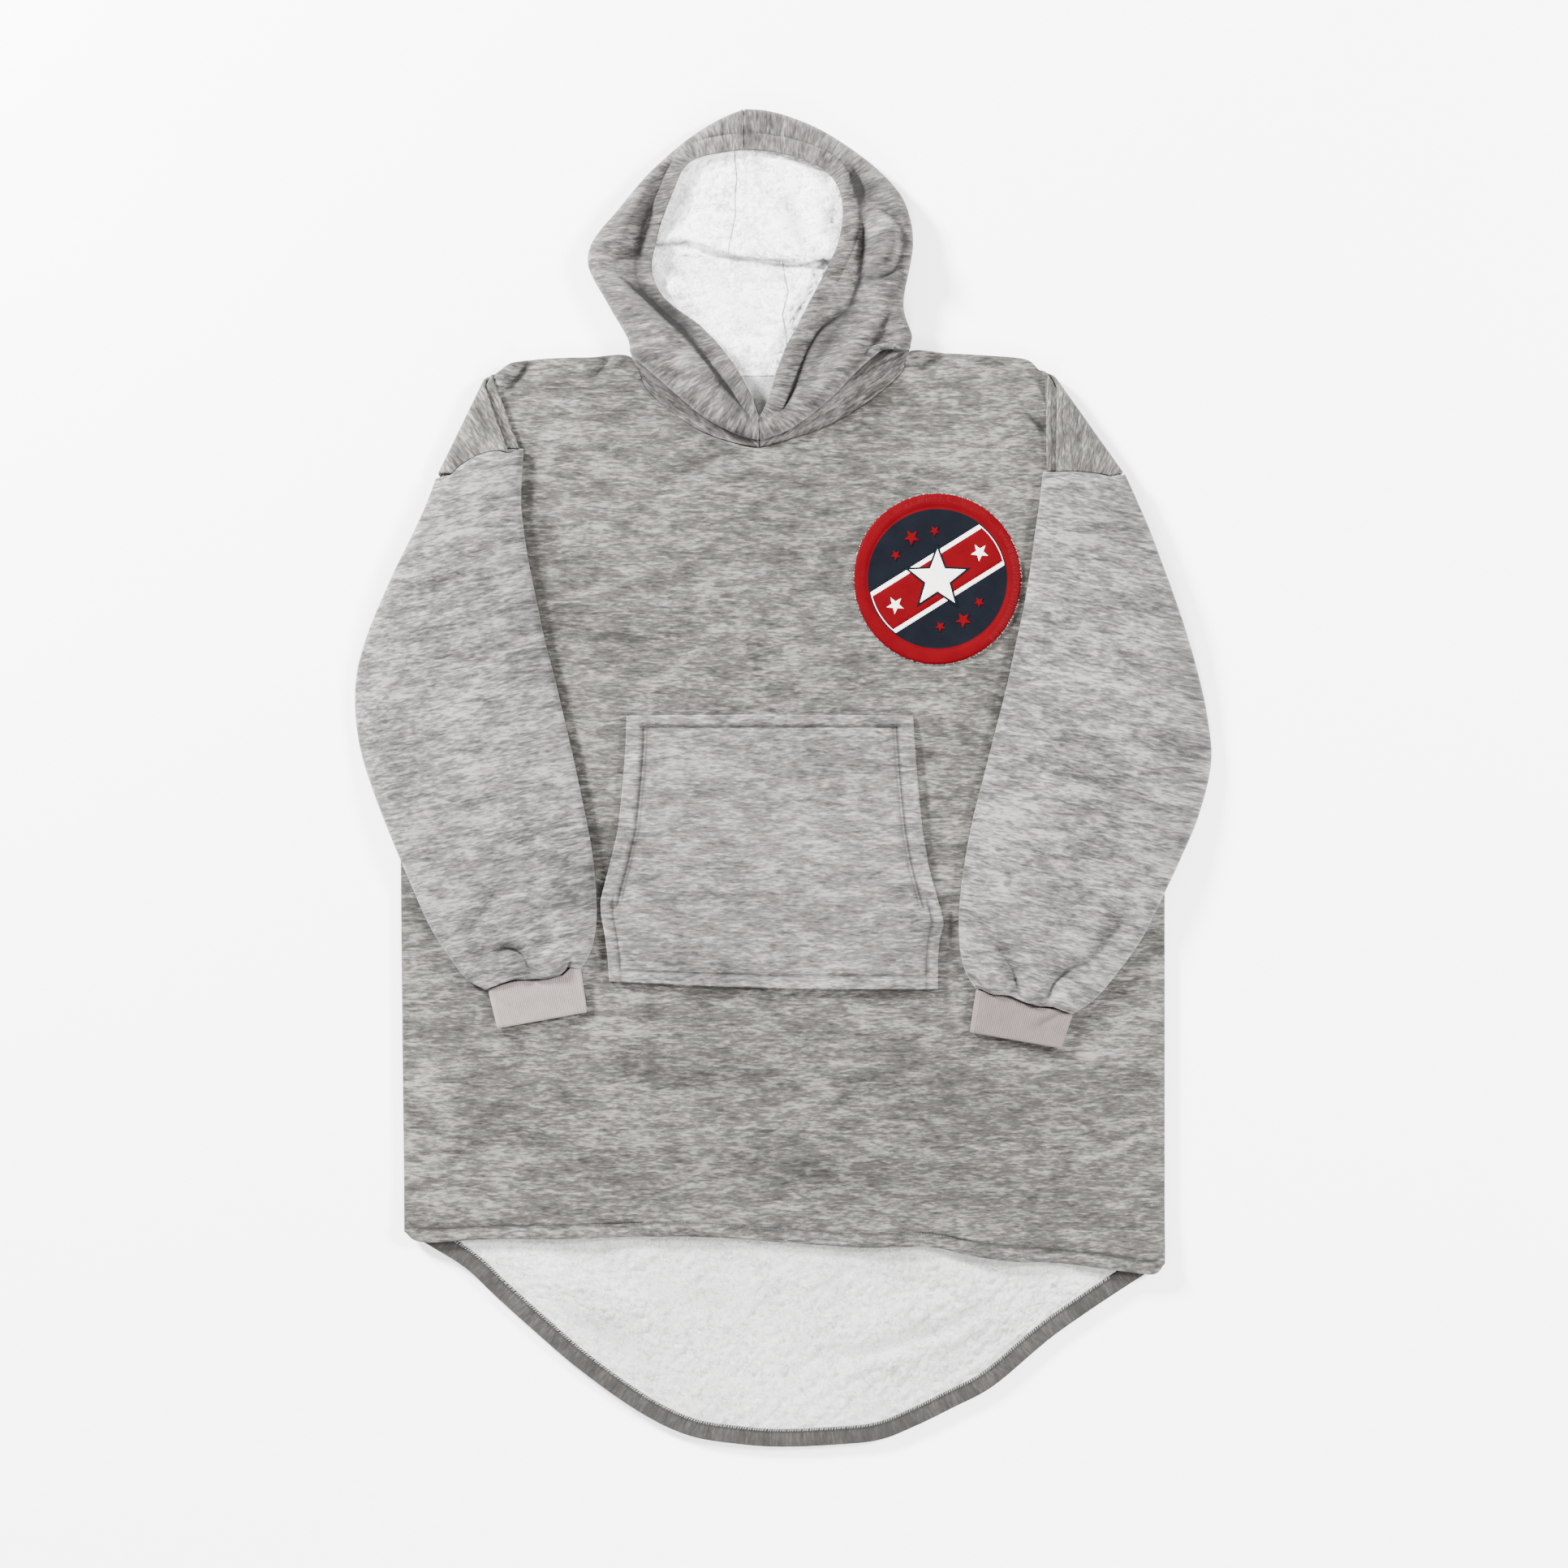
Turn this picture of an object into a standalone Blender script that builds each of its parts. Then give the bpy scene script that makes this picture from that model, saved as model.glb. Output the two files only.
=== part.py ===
"""Wearable blanket hoodie, laid flat on its back with its sleeves folded over the front.

+X runs to the right of the garment as seen from above, +Y from the tail to the hood and +Z up.
The origin is on the surface that it lies on, under the middle of its outline.
Tables and working values are in millimetres; objects are built in metres.
"""
import math

import bmesh
import bpy
import numpy as np

MM = 0.001

# Cloth
WALL = 4.0            # fleece with its sherpa backing, pressed flat
SEAM = 0.3            # gap between two pieces that are sewn together
LAYER = 0.6           # gap between panels that lie on each other
CLEAR = 0.9           # gap under a sleeve or a cuff, which bends over the body's edge
BACK_MID = WALL / 2
FRONT_MID = BACK_MID + WALL + LAYER
FRONT_TOP = FRONT_MID + WALL / 2

# Tail
LINING_WALL = 2.0
BAND_WALL = 2.4
BAND_WIDTH = 13.0
HEM_LIFT = 2.3        # the tail's lining holds the front hem up by this
HEM_LAP = 16.0        # the lining and band run on under the front hem
TAIL_LAYER = 0.3
CORNER_ROW_SHARE = 0.3   # a row near the hem, so that only the hem itself is lifted
BAND_INSET = 0.6         # the band lies this far inside the tail's edge
BAND_END = 6.0           # and ends this far from the last points of the tail's table

# Outline of the body: side edges, listed from the hem to where the shoulder folds over
SIDE_LEFT = (
    # (x, y)
    (-401.0, -84.0),
    (-400.0, 120.0),
    (-399.0, 186.0),
    (-394.0, 228.0),
    (-380.0, 271.0),
)
SIDE_RIGHT = (
    # (x, y)
    (400.0, -84.0),
    (400.0, 120.0),
    (399.0, 186.0),
    (391.0, 228.0),
    (376.0, 271.0),
)
FRONT_HEM = (
    # (x, y)
    (-397.0, -475.0),
    (-378.0, -486.0),
    (-309.0, -483.0),
    (-230.0, -482.0),
    (-152.0, -480.0),
    (-85.0, -480.0),
    (-4.0, -486.0),
    (75.0, -491.0),
    (150.0, -491.0),
    (190.0, -498.0),
    (235.0, -505.0),
    (290.0, -508.0),
    (356.0, -516.0),
    (388.0, -520.0),
    (400.0, -508.0),
)
TAIL_EDGE = (
    # (x, y)
    (-397.0, -475.0),
    (-376.0, -488.0),
    (-334.0, -514.0),
    (-303.0, -543.0),
    (-262.0, -580.0),
    (-214.0, -621.0),
    (-152.0, -665.0),
    (-100.0, -690.0),
    (-48.0, -699.0),
    (-4.0, -702.0),
    (52.0, -700.0),
    (100.0, -695.0),
    (137.0, -681.0),
    (180.0, -660.0),
    (221.0, -638.0),
    (278.0, -590.0),
    (320.0, -560.0),
    (356.0, -536.0),
    (378.0, -522.0),
    (400.0, -508.0),
)
# Shoulder edge between the fold of each shoulder and the neck
SHOULDER_LEFT = (
    # (x, y)
    (-280.0, 436.0),
    (-243.0, 440.0),
    (-204.0, 441.0),
)
SHOULDER_RIGHT = (
    # (x, y)
    (254.0, 439.0),
    (214.0, 443.0),
    (176.0, 445.0),
)

# Each shoulder is folded forward along a slanting line. The fold runs from its top to its foot, and
# the flap behind it lands between the fold and the shoulder seam, which ends at the sleeve head.
FLAPS = {
    "left": {"top": (-300.0, 424.0), "foot": (-355.5, 310.0), "head": (-287.0, 340.0),
             "foot_in": (-346.0, 318.0), "rise": 9.0, "peek": 12.0},
    "right": {"top": (268.0, 428.0), "foot": (350.5, 312.0), "head": (285.0, 320.0),
              "foot_in": (341.0, 315.5), "rise": 2.0, "peek": 9.0},
}
FLAP_ROWS = 7
FOLD_STEPS = 5
ARMHOLE_ROUNDNESS = 0.8          # the seam's rise is fuller than a sine where this is below 1
FRONT_FOLD = 2.5                                   # radius of the front's own fold, at mid wall
BACK_FOLD = FRONT_FOLD + WALL + 0.9                # the back's fold goes round the front's

# Sleeves, from the armhole down to the cuff: inner edge, outer edge, and how far they puff up
SLEEVES = {
    "left": (
        # (inner x, inner y, outer x, outer y, puff)
        (-275.0, 327.0, -362.0, 310.0, 0.0),
        (-274.0, 298.0, -373.0, 287.0, 0.8),
        (-272.0, 266.0, -386.0, 258.0, 1.6),
        (-266.0, 226.0, -402.0, 226.0, 2.2),
        (-258.0, 186.0, -419.0, 190.0, 2.6),
        (-249.0, 143.0, -436.0, 150.0, 2.8),
        (-239.0, 105.0, -447.0, 111.0, 2.8),
        (-230.0, 67.0, -449.0, 71.0, 2.8),
        (-220.0, 24.0, -443.0, 28.0, 2.8),
        (-210.0, -23.0, -428.0, -18.0, 2.8),
        (-201.0, -69.0, -409.0, -65.0, 2.8),
        (-196.0, -112.0, -389.0, -112.0, 2.8),
        (-195.0, -148.0, -370.0, -154.0, 2.6),
        (-199.0, -174.0, -350.0, -186.0, 2.2),
        (-206.0, -189.0, -332.0, -208.0, 1.6),
        (-212.0, -196.0, -312.0, -219.0, 1.0),
    ),
    "right": (
        # (inner x, inner y, outer x, outer y, puff)
        (272.0, 312.0, 360.0, 309.0, 0.0),
        (268.0, 288.0, 371.0, 288.0, 0.8),
        (264.0, 262.0, 384.0, 258.0, 1.6),
        (259.0, 224.0, 396.0, 226.0, 2.2),
        (252.0, 181.0, 410.0, 188.0, 2.6),
        (243.0, 139.0, 423.0, 150.0, 2.8),
        (234.0, 97.0, 435.0, 109.0, 2.8),
        (222.0, 50.0, 445.0, 64.0, 2.8),
        (210.0, 3.0, 449.0, 16.0, 2.8),
        (198.0, -44.0, 436.0, -38.0, 2.8),
        (189.0, -92.0, 417.0, -82.0, 2.8),
        (184.0, -135.0, 398.0, -122.0, 2.8),
        (184.0, -171.0, 376.0, -166.0, 2.6),
        (188.0, -195.0, 352.0, -200.0, 2.2),
        (194.0, -207.0, 329.0, -227.0, 1.6),
        (202.0, -217.0, 303.0, -244.0, 1.0),
    ),
}
SLEEVE_WALL = 4.0
SLEEVE_GAP = 1.1                 # between the two walls at the flattened edges
DROP_START = 3.0                 # past the body's edge a sleeve sinks to the surface, from here
DROP_END = 48.0                  # to here
GATHERS = 5                      # waves where the sleeve is drawn into its cuff
GATHER_HEIGHT = 2.2
GATHER_REACH = 28.0
SLEEVE_ROW_LENGTH = 22.0         # usual distance between two rows of the table above
INSIDE_SHARE = (0.4, 0.86)       # least and most of a sleeve's width with even columns
ARMHOLE_STEP = 0.42              # share of the way out to the sleeve's edge, for each extra column

# Cuffs: corners of the top edge, which meets the sleeve, and of the open end
CUFFS = {
    # (inner x, inner y), (outer x, outer y), then the same at the open end
    "left": ((-212.0, -197.5), (-309.0, -221.0), (-205.0, -245.0), (-299.0, -262.0)),
    "right": ((202.0, -219.5), (303.0, -247.0), (195.0, -266.0), (291.0, -283.0)),
}
CUFF_WALL = 2.6
CUFF_HOLLOW = 1.6
RIBS = 96                        # round each cuff
RIB_HEIGHT = 0.7

# Pocket
POCKET = (
    # (left x, right x, y left, y right), from the top edge to the bottom edge
    (-164.0, 136.0, 65.0, 65.0),
    (-165.0, 138.0, 33.0, 33.0),
    (-168.0, 141.0, -6.0, -6.0),
    (-173.0, 146.0, -54.0, -54.0),
    (-182.0, 153.0, -92.0, -95.0),
    (-191.0, 163.0, -128.0, -132.0),
    (-191.0, 168.0, -142.0, -152.0),
    (-187.0, 164.0, -163.0, -168.0),
    (-184.0, 162.0, -186.0, -190.0),
    (-182.0, 162.0, -213.0, -221.0),
)
POCKET_WALL = 3.0
POCKET_HEM_RISE = 0.9
POCKET_SIDE_HEM = 18.0
POCKET_EDGE_HEM = 11.0
POCKET_HEM_STEP = 1.2            # width of the step from a hem down to the cloth between
POCKET_ROWS = (0.13, 0.24, 0.36, 0.48, 0.58, 0.67, 0.73, 0.8, 0.87)
POCKET_SLANT_END = 0.7           # the slanted openings end at this share of the height
POCKET_PRESS = 0.2               # the pocket lies this much closer than other layers
POCKET_SAG = 3.0                 # the bottom edge bows down by this in its middle

# Patch
PATCH_CENTRE = (161.5, 208.5)
PATCH_RADII = (87.5, 89.5)
PATCH_WALL = 1.6
PATCH_RIM_WIDTH = 13.5
PATCH_RIM_RISE = 1.2

# Hood: a row for each section of a half, from the crown round to the point of the neck.
# start is on the centre-back seam and then on the neck seam, fold is where the cloth turns up and
# over, and face is on the edge of the face opening. Heights are of the middle of the wall.
HOOD_LEFT = (
    # (start x, start y, start z, fold x, fold y, face x, face y, top z, dip, face z)
    (-41.15, 669.0, 2.0, -41.15, 701.0, -41.15, 657.0, 15.0, 0.0, 13.5),
    (-41.15, 649.0, 2.0, -68.0, 689.0, -64.0, 654.0, 16.0, 0.0, 14.0),
    (-41.15, 628.0, 2.0, -100.0, 669.0, -90.0, 648.0, 17.0, 0.0, 14.5),
    (-41.15, 606.0, 2.0, -137.0, 636.0, -104.0, 637.0, 18.0, 0.0, 15.0),
    (-41.15, 585.0, 2.0, -159.0, 611.0, -112.0, 620.0, 19.0, 0.5, 15.5),
    (-41.15, 564.0, 2.0, -176.0, 590.0, -120.0, 600.0, 20.0, 1.0, 16.0),
    (-41.15, 543.0, 2.0, -191.0, 573.0, -128.0, 578.0, 21.0, 1.5, 16.5),
    (-41.15, 521.0, 2.0, -202.0, 556.0, -133.0, 557.0, 21.5, 2.0, 17.0),
    (-40.65, 500.0, 2.0, -204.5, 538.0, -137.0, 538.0, 22.0, 2.5, 17.0),
    (-39.15, 479.0, 2.0, -198.0, 521.0, -135.0, 521.0, 23.0, 4.0, 17.5),
    (-37.15, 458.0, 2.0, -188.0, 504.0, -126.0, 504.0, 24.0, 5.5, 18.0),
    (-35.15, 439.0, 2.0, -178.0, 486.0, -112.0, 491.0, 25.0, 6.5, 18.5),
    (-33.15, 426.0, 2.0, -169.0, 471.0, -98.0, 481.0, 26.0, 7.5, 19.0),
    (-72.0, 431.0, 2.0, -163.0, 460.0, -87.0, 473.0, 26.5, 8.0, 19.5),
    (-118.0, 437.0, 2.0, -161.0, 453.0, -79.0, 465.0, 26.5, 8.0, 20.0),
    (-157.5, 443.6, 7.2, -159.5, 443.6, -71.0, 457.0, 26.5, 8.0, 20.5),
    (-143.0, 408.0, 6.8, -134.0, 421.0, -62.0, 446.0, 26.5, 8.0, 21.0),
    (-116.0, 383.0, 6.6, -107.0, 397.0, -53.0, 434.0, 26.0, 7.0, 21.0),
    (-86.0, 363.0, 6.6, -81.0, 376.0, -43.0, 418.0, 25.0, 6.0, 20.5),
    (-53.0, 351.0, 6.6, -50.0, 360.0, -33.0, 399.0, 22.0, 4.0, 19.0),
    (-25.5, 346.0, 6.6, -25.5, 353.0, -25.5, 378.0, 19.0, 2.0, 17.0),
)
HOOD_RIGHT = (
    # (start x, start y, start z, fold x, fold y, face x, face y, top z, dip, face z)
    (-40.85, 669.0, 2.0, -40.85, 701.0, -40.85, 657.0, 15.0, 0.0, 13.5),
    (-40.85, 649.0, 2.0, -17.0, 699.0, -17.0, 655.5, 16.0, 0.0, 14.0),
    (-40.85, 628.0, 2.0, 8.0, 692.0, 9.0, 650.0, 17.0, 0.0, 14.5),
    (-40.85, 606.0, 2.0, 39.0, 679.0, 31.0, 642.0, 18.0, 0.0, 15.0),
    (-40.85, 585.0, 2.0, 74.0, 657.0, 48.0, 631.0, 19.0, 0.5, 15.5),
    (-40.85, 564.0, 2.0, 101.0, 635.0, 58.0, 615.0, 20.0, 1.0, 16.0),
    (-40.85, 543.0, 2.0, 123.0, 610.0, 62.0, 597.0, 22.0, 2.0, 16.5),
    (-40.85, 521.0, 2.0, 133.0, 585.0, 61.0, 577.0, 24.0, 3.0, 17.0),
    (-40.35, 500.0, 2.0, 136.0, 560.0, 56.0, 556.0, 25.0, 4.0, 17.0),
    (-38.85, 479.0, 2.0, 133.0, 536.0, 47.0, 536.0, 25.0, 5.0, 17.5),
    (-36.85, 458.0, 2.0, 128.0, 513.0, 37.0, 516.0, 25.0, 5.5, 18.0),
    (-34.85, 439.0, 2.0, 126.0, 495.0, 27.0, 497.0, 25.0, 5.0, 18.5),
    (-32.85, 426.0, 2.0, 128.0, 482.0, 18.0, 479.0, 25.5, 4.0, 19.0),
    (13.0, 430.0, 2.0, 132.0, 471.0, 11.0, 466.0, 26.0, 4.0, 19.5),
    (92.0, 438.0, 2.0, 135.0, 462.0, 5.0, 455.0, 26.5, 4.0, 20.0),
    (130.5, 449.6, 7.2, 132.5, 449.6, 1.0, 446.0, 27.0, 4.5, 20.5),
    (124.0, 425.0, 7.2, 109.0, 442.0, -3.0, 436.0, 27.5, 5.0, 21.0),
    (99.0, 402.0, 6.6, 84.0, 422.0, -8.0, 422.0, 27.5, 5.0, 21.0),
    (69.0, 381.0, 6.6, 58.0, 400.0, -12.0, 407.0, 26.5, 5.0, 20.5),
    (38.0, 365.0, 6.6, 30.0, 378.0, -17.0, 393.0, 24.0, 4.0, 19.5),
    (5.0, 354.0, 6.6, 1.0, 362.0, -21.5, 383.0, 21.0, 2.5, 18.0),
    (-25.0, 346.0, 6.6, -25.0, 353.0, -25.0, 378.0, 19.0, 2.0, 17.0),
)
NAPE_ROW = 12         # the start leaves the centre-back seam for the back of the neck here
CORNER_ROW = 15       # and the back of the neck for its front here
CORNER_TILT = 0.27    # the cloth standing up at the corner of the neck faces out and up this much
CORNER_GAP = 0.6       # the panels keep this further off the standing cloth at that corner
HOOD_WALL = 4.0
FOOT_REACH = (0.7, 0.9)    # how far the roll's lower half may lean out or in, by half its height
LONG_LEG = 25.0        # from this length on, the strip under the roll has columns of its own
ROLL_SHOULDER = (1.1, 0.45)    # length of the roll's rounded top, by half height and by width
TROUGH = (0.55, 0.22)  # middle and half width of the dip between roll and face, by the width
HOOD_LOWER_COLUMNS = 3
HOOD_UPPER_COLUMNS = 9

# Hood lining, from the crown to the nape
LINING_ROWS = (
    # (y, centre x, left x, right x, raise), raise is over the cloth that it lies on
    (664.0, -41.0, -66.0, -6.0, 3.5),
    (645.0, -41.0, -104.0, 38.0, 1.8),
    (625.0, -41.0, -122.0, 63.0, 0.8),
    (600.0, -41.0, -131.0, 75.0, 0.4),
    (575.0, -41.0, -140.0, 74.0, 1.6),
    (556.0, -41.0, -145.0, 70.0, 3.6),
    (548.0, -41.0, -148.0, 68.0, 4.6),
    (543.0, -41.0, -149.0, 66.0, 1.6),
    (536.0, -41.0, -150.0, 62.0, 0.6),
    (515.0, -41.0, -144.0, 51.0, 0.4),
    (490.0, -39.5, -124.0, 36.0, 0.4),
    (465.0, -37.5, -96.0, 22.0, 0.4),
    (445.0, -35.5, -76.0, 10.0, 0.4),
    (432.0, -33.5, -62.0, 4.0, 0.4),
)
LINING_STEPS = 7
HOOD_LINING_WALL = 2.6
TUCK_Y = 548.0        # height and half width of the tuck across the lining
TUCK_WIDTH = 20.0
TUCK_SAG = 7.0        # the tuck across the lining hangs lower by this in its middle

COLOURS = {
    # (red, green, blue, roughness)
    "fleece": (0.36, 0.35, 0.34, 0.95),
    "sleeve": (0.42, 0.41, 0.40, 0.95),
    "pocket": (0.44, 0.43, 0.42, 0.95),
    "hood": (0.28, 0.27, 0.27, 0.95),
    "band": (0.27, 0.26, 0.25, 0.95),
    "sherpa": (0.90, 0.89, 0.87, 0.98),
    "rib": (0.48, 0.44, 0.43, 0.95),
    "patch": (0.45, 0.04, 0.05, 0.85),
}


def clear_scene():
    for item in list(bpy.data.objects):
        bpy.data.objects.remove(item, do_unlink=True)


def material(name, colour):
    red, green, blue, roughness = COLOURS[colour]
    made = bpy.data.materials.new(name)
    made.use_nodes = True
    shader = made.node_tree.nodes["Principled BSDF"]
    shader.inputs["Base Color"].default_value = (red, green, blue, 1.0)
    shader.inputs["Roughness"].default_value = roughness
    shader.inputs["Metallic"].default_value = 0.0
    return made


def ease(value):
    """0 below 0, 1 above 1 and a smooth step between."""
    held = np.clip(value, 0.0, 1.0)
    return held * held * (3.0 - 2.0 * held)


def curve(points, count):
    """Even points along a smooth curve through the table's rows."""
    rows = np.array(points, dtype=float)
    padded = np.vstack([2 * rows[0] - rows[1], rows, 2 * rows[-1] - rows[-2]])
    fine = []
    for index in range(len(rows) - 1):
        before, here, there, after = padded[index:index + 4]
        for step in np.linspace(0.0, 1.0, 8, endpoint=False):
            fine.append(0.5 * (2 * here + (there - before) * step
                               + (2 * before - 5 * here + 4 * there - after) * step ** 2
                               + (3 * here - before - 3 * there + after) * step ** 3))
    fine.append(rows[-1])
    fine = np.array(fine)
    run = np.concatenate([[0.0], np.cumsum(np.linalg.norm(np.diff(fine, axis=0), axis=1))])
    wanted = np.linspace(0.0, run[-1], count)
    return np.stack([np.interp(wanted, run, column) for column in fine.T], axis=1)


def edge_at(points, x):
    """Height y of an outline that is listed from left to right, at x."""
    fine = curve(points, 8 * len(points))
    return np.interp(x, fine[:, 0], fine[:, 1])


def grid_faces(rows, columns, closed=False, first=0):
    """Faces of a grid of points; a closed grid's last column meets its first."""
    faces = []
    for row in range(rows - 1):
        for column in range(columns if closed else columns - 1):
            after = (column + 1) % columns
            here = first + row * columns
            above = here + columns
            faces.append((here + column, here + after, above + after, above + column))
    return faces


def weld(points, faces):
    """Join points that share a place, and drop what has shrunk to nothing."""
    places = {}
    kept = []
    moved = []
    for point in points:
        key = tuple(np.round(point, 4))
        if key not in places:
            places[key] = len(kept)
            kept.append(point)
        moved.append(places[key])
    joined = []
    for face in faces:
        corners = []
        for corner in face:
            if moved[corner] not in corners:
                corners.append(moved[corner])
        if len(corners) > 2:
            joined.append(tuple(corners))
    return np.array(kept), joined


def split(points, faces):
    """Cut each four-sided face along its shorter diagonal, so that both sides of a wall match."""
    cut = []
    for face in faces:
        if len(face) != 4:
            cut.append(face)
            continue
        one, two, three, four = face
        first = np.linalg.norm(points[one] - points[three])
        second = np.linalg.norm(points[two] - points[four])
        if first <= second:
            cut += [(one, two, three), (one, three, four)]
        else:
            cut += [(one, two, four), (two, three, four)]
    return cut


def corner_normals(points, faces):
    """Normal at each point, each face weighted by its corner's angle."""
    normals = np.zeros_like(points)
    for face in faces:
        corners = points[list(face)]
        before = np.roll(corners, 1, axis=0) - corners
        after = np.roll(corners, -1, axis=0) - corners
        area = np.cross(after, before).sum(axis=0)
        area /= np.linalg.norm(area)
        cosine = (before * after).sum(axis=1)
        cosine /= np.linalg.norm(before, axis=1) * np.linalg.norm(after, axis=1)
        angle = np.arccos(np.clip(cosine, -1.0, 1.0))
        for corner, weight in zip(face, angle):
            normals[corner] += weight * area
    return normals / np.linalg.norm(normals, axis=1)[:, None]


def faces_out(points, faces, tube):
    """Turn the faces so that a tube's point outwards and a sheet's point up."""
    centre = points.mean(axis=0)
    total = 0.0
    for face in faces:
        corners = points[list(face)]
        area = np.cross(corners[1] - corners[0], corners[2] - corners[0])
        total += area @ (corners.mean(axis=0) - centre) if tube else area[2]
    return faces if total > 0.0 else [tuple(reversed(face)) for face in faces]


def wall(name, colour, points, faces, thickness, raised=0.0, tube=False, level=(), facing=(),
         fixed=None):
    """A closed wall of cloth on both sides of a surface, raised further on the outer side.

    Points in level keep their walls square to the surface that the garment lies on, points in
    facing keep them in the plane of the middle seam, and fixed gives a point's direction outright.
    """
    points = np.array(points)
    faces = split(points, faces_out(points, faces, tube))
    normals = corner_normals(points, faces)
    normals[list(facing), 0] = 0.0
    normals[list(level), :2] = 0.0
    for number, direction in (fixed or {}).items():
        normals[number] = direction * (1.0 if normals[number] @ direction > 0.0 else -1.0)
    normals /= np.linalg.norm(normals, axis=1)[:, None]
    raised = np.broadcast_to(raised, len(points))[:, None]
    outer = points + normals * (thickness / 2 + raised)
    inner = points - normals * thickness / 2
    count = len(points)
    solid = list(faces)
    solid += [tuple(corner + count for corner in reversed(face)) for face in faces]
    used = {}
    for face in faces:
        for corner, after in zip(face, face[1:] + face[:1]):
            used[(corner, after)] = True
    for corner, after in used:
        if (after, corner) not in used:
            solid.append((after, corner, corner + count, after + count))
    return build(name, colour, np.vstack([outer, inner]), solid)


def build(name, colour, points, faces):
    """A mesh object from points in millimetres."""
    mesh = bpy.data.meshes.new(name)
    mesh.from_pydata([tuple(point) for point in np.asarray(points) * MM], [], faces)
    shape = bmesh.new()
    shape.from_mesh(mesh)
    bmesh.ops.triangulate(shape, faces=shape.faces[:], quad_method="SHORT_EDGE")
    if shape.calc_volume(signed=True) < 0.0:
        bmesh.ops.reverse_faces(shape, faces=shape.faces[:])
    shape.to_mesh(mesh)
    shape.free()
    mesh.materials.append(material(name, colour))
    made = bpy.data.objects.new(name, mesh)
    GARMENT.objects.link(made)
    return made


def coons(bottom, top, left, right):
    """Points of a patch between four edges."""
    across = np.linspace(0.0, 1.0, len(bottom))[None, :, None]
    up = np.linspace(0.0, 1.0, len(left))[:, None, None]
    lofted = (1 - up) * bottom[None] + up * top[None]
    swept = (1 - across) * left[:, None] + across * right[:, None]
    corners = ((1 - up) * ((1 - across) * bottom[0] + across * bottom[-1])
               + up * ((1 - across) * top[0] + across * top[-1]))
    return lofted + swept - corners


def armhole(side, share, peek=0.0):
    """A point on the seam between shoulder and sleeve, from the sleeve head to the fold."""
    flap = FLAPS[side]
    head = np.array(flap["head"])
    foot = np.array(flap["foot_in"])
    along = (foot - head) / np.linalg.norm(foot - head)
    head = head - along * flap["peek"] * peek
    point = head + (foot - head) * share
    return point + np.array([0.0, flap["rise"] * math.sin(math.pi * share) ** ARMHOLE_ROUNDNESS])


def flap_points(side, radius, level, peek):
    """Grid of a shoulder's flap, from the fold over and back to its seams."""
    flap = FLAPS[side]
    top = np.array(flap["top"])
    foot = np.array(flap["foot"])
    down = (foot - top) / np.linalg.norm(foot - top)
    outward = np.array([down[1], -down[0]])
    if outward[0] * foot[0] < 0:
        outward = -outward
    turn = math.pi * radius
    rows = []
    for share in np.linspace(0.0, 1.0, FLAP_ROWS):
        end = armhole(side, share, peek) - top
        start_along = share * np.linalg.norm(foot - top)
        end_along = end @ down
        reach = turn - end @ outward
        arc = [turn * step / (FOLD_STEPS - 1) for step in range(FOLD_STEPS)]
        flat = [turn + (reach - turn) * step / 3 for step in (1, 2, 3)]
        row = []
        for distance in arc + flat:
            along = start_along + (end_along - start_along) * distance / reach
            angle = min(distance, turn) / radius
            out = radius * math.sin(angle) - max(distance - turn, 0.0)
            place = top + down * along + outward * out
            row.append((*place, level + radius - radius * math.cos(angle)))
        rows.append(row)
    return np.array(rows)


def neck(first, last, rows, gap):
    """The neckline of a body panel beside the starts of the hood's rows."""
    table = np.array(rows)
    starts = table[first:last + 1, :2]
    folds = table[first:last + 1, 3:5]
    away = starts - folds
    away[CORNER_ROW - first] = (starts[CORNER_ROW - first, 0], -abs(starts[CORNER_ROW - first, 0]))
    if first < CORNER_ROW:
        away = np.tile([0.0, -1.0], (len(starts), 1))
    away /= np.linalg.norm(away, axis=1)[:, None]
    gaps = np.full((len(starts), 1), gap)
    gaps[CORNER_ROW - first] += HOOD_WALL / 2 + CORNER_GAP
    return starts + away * gaps


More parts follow.
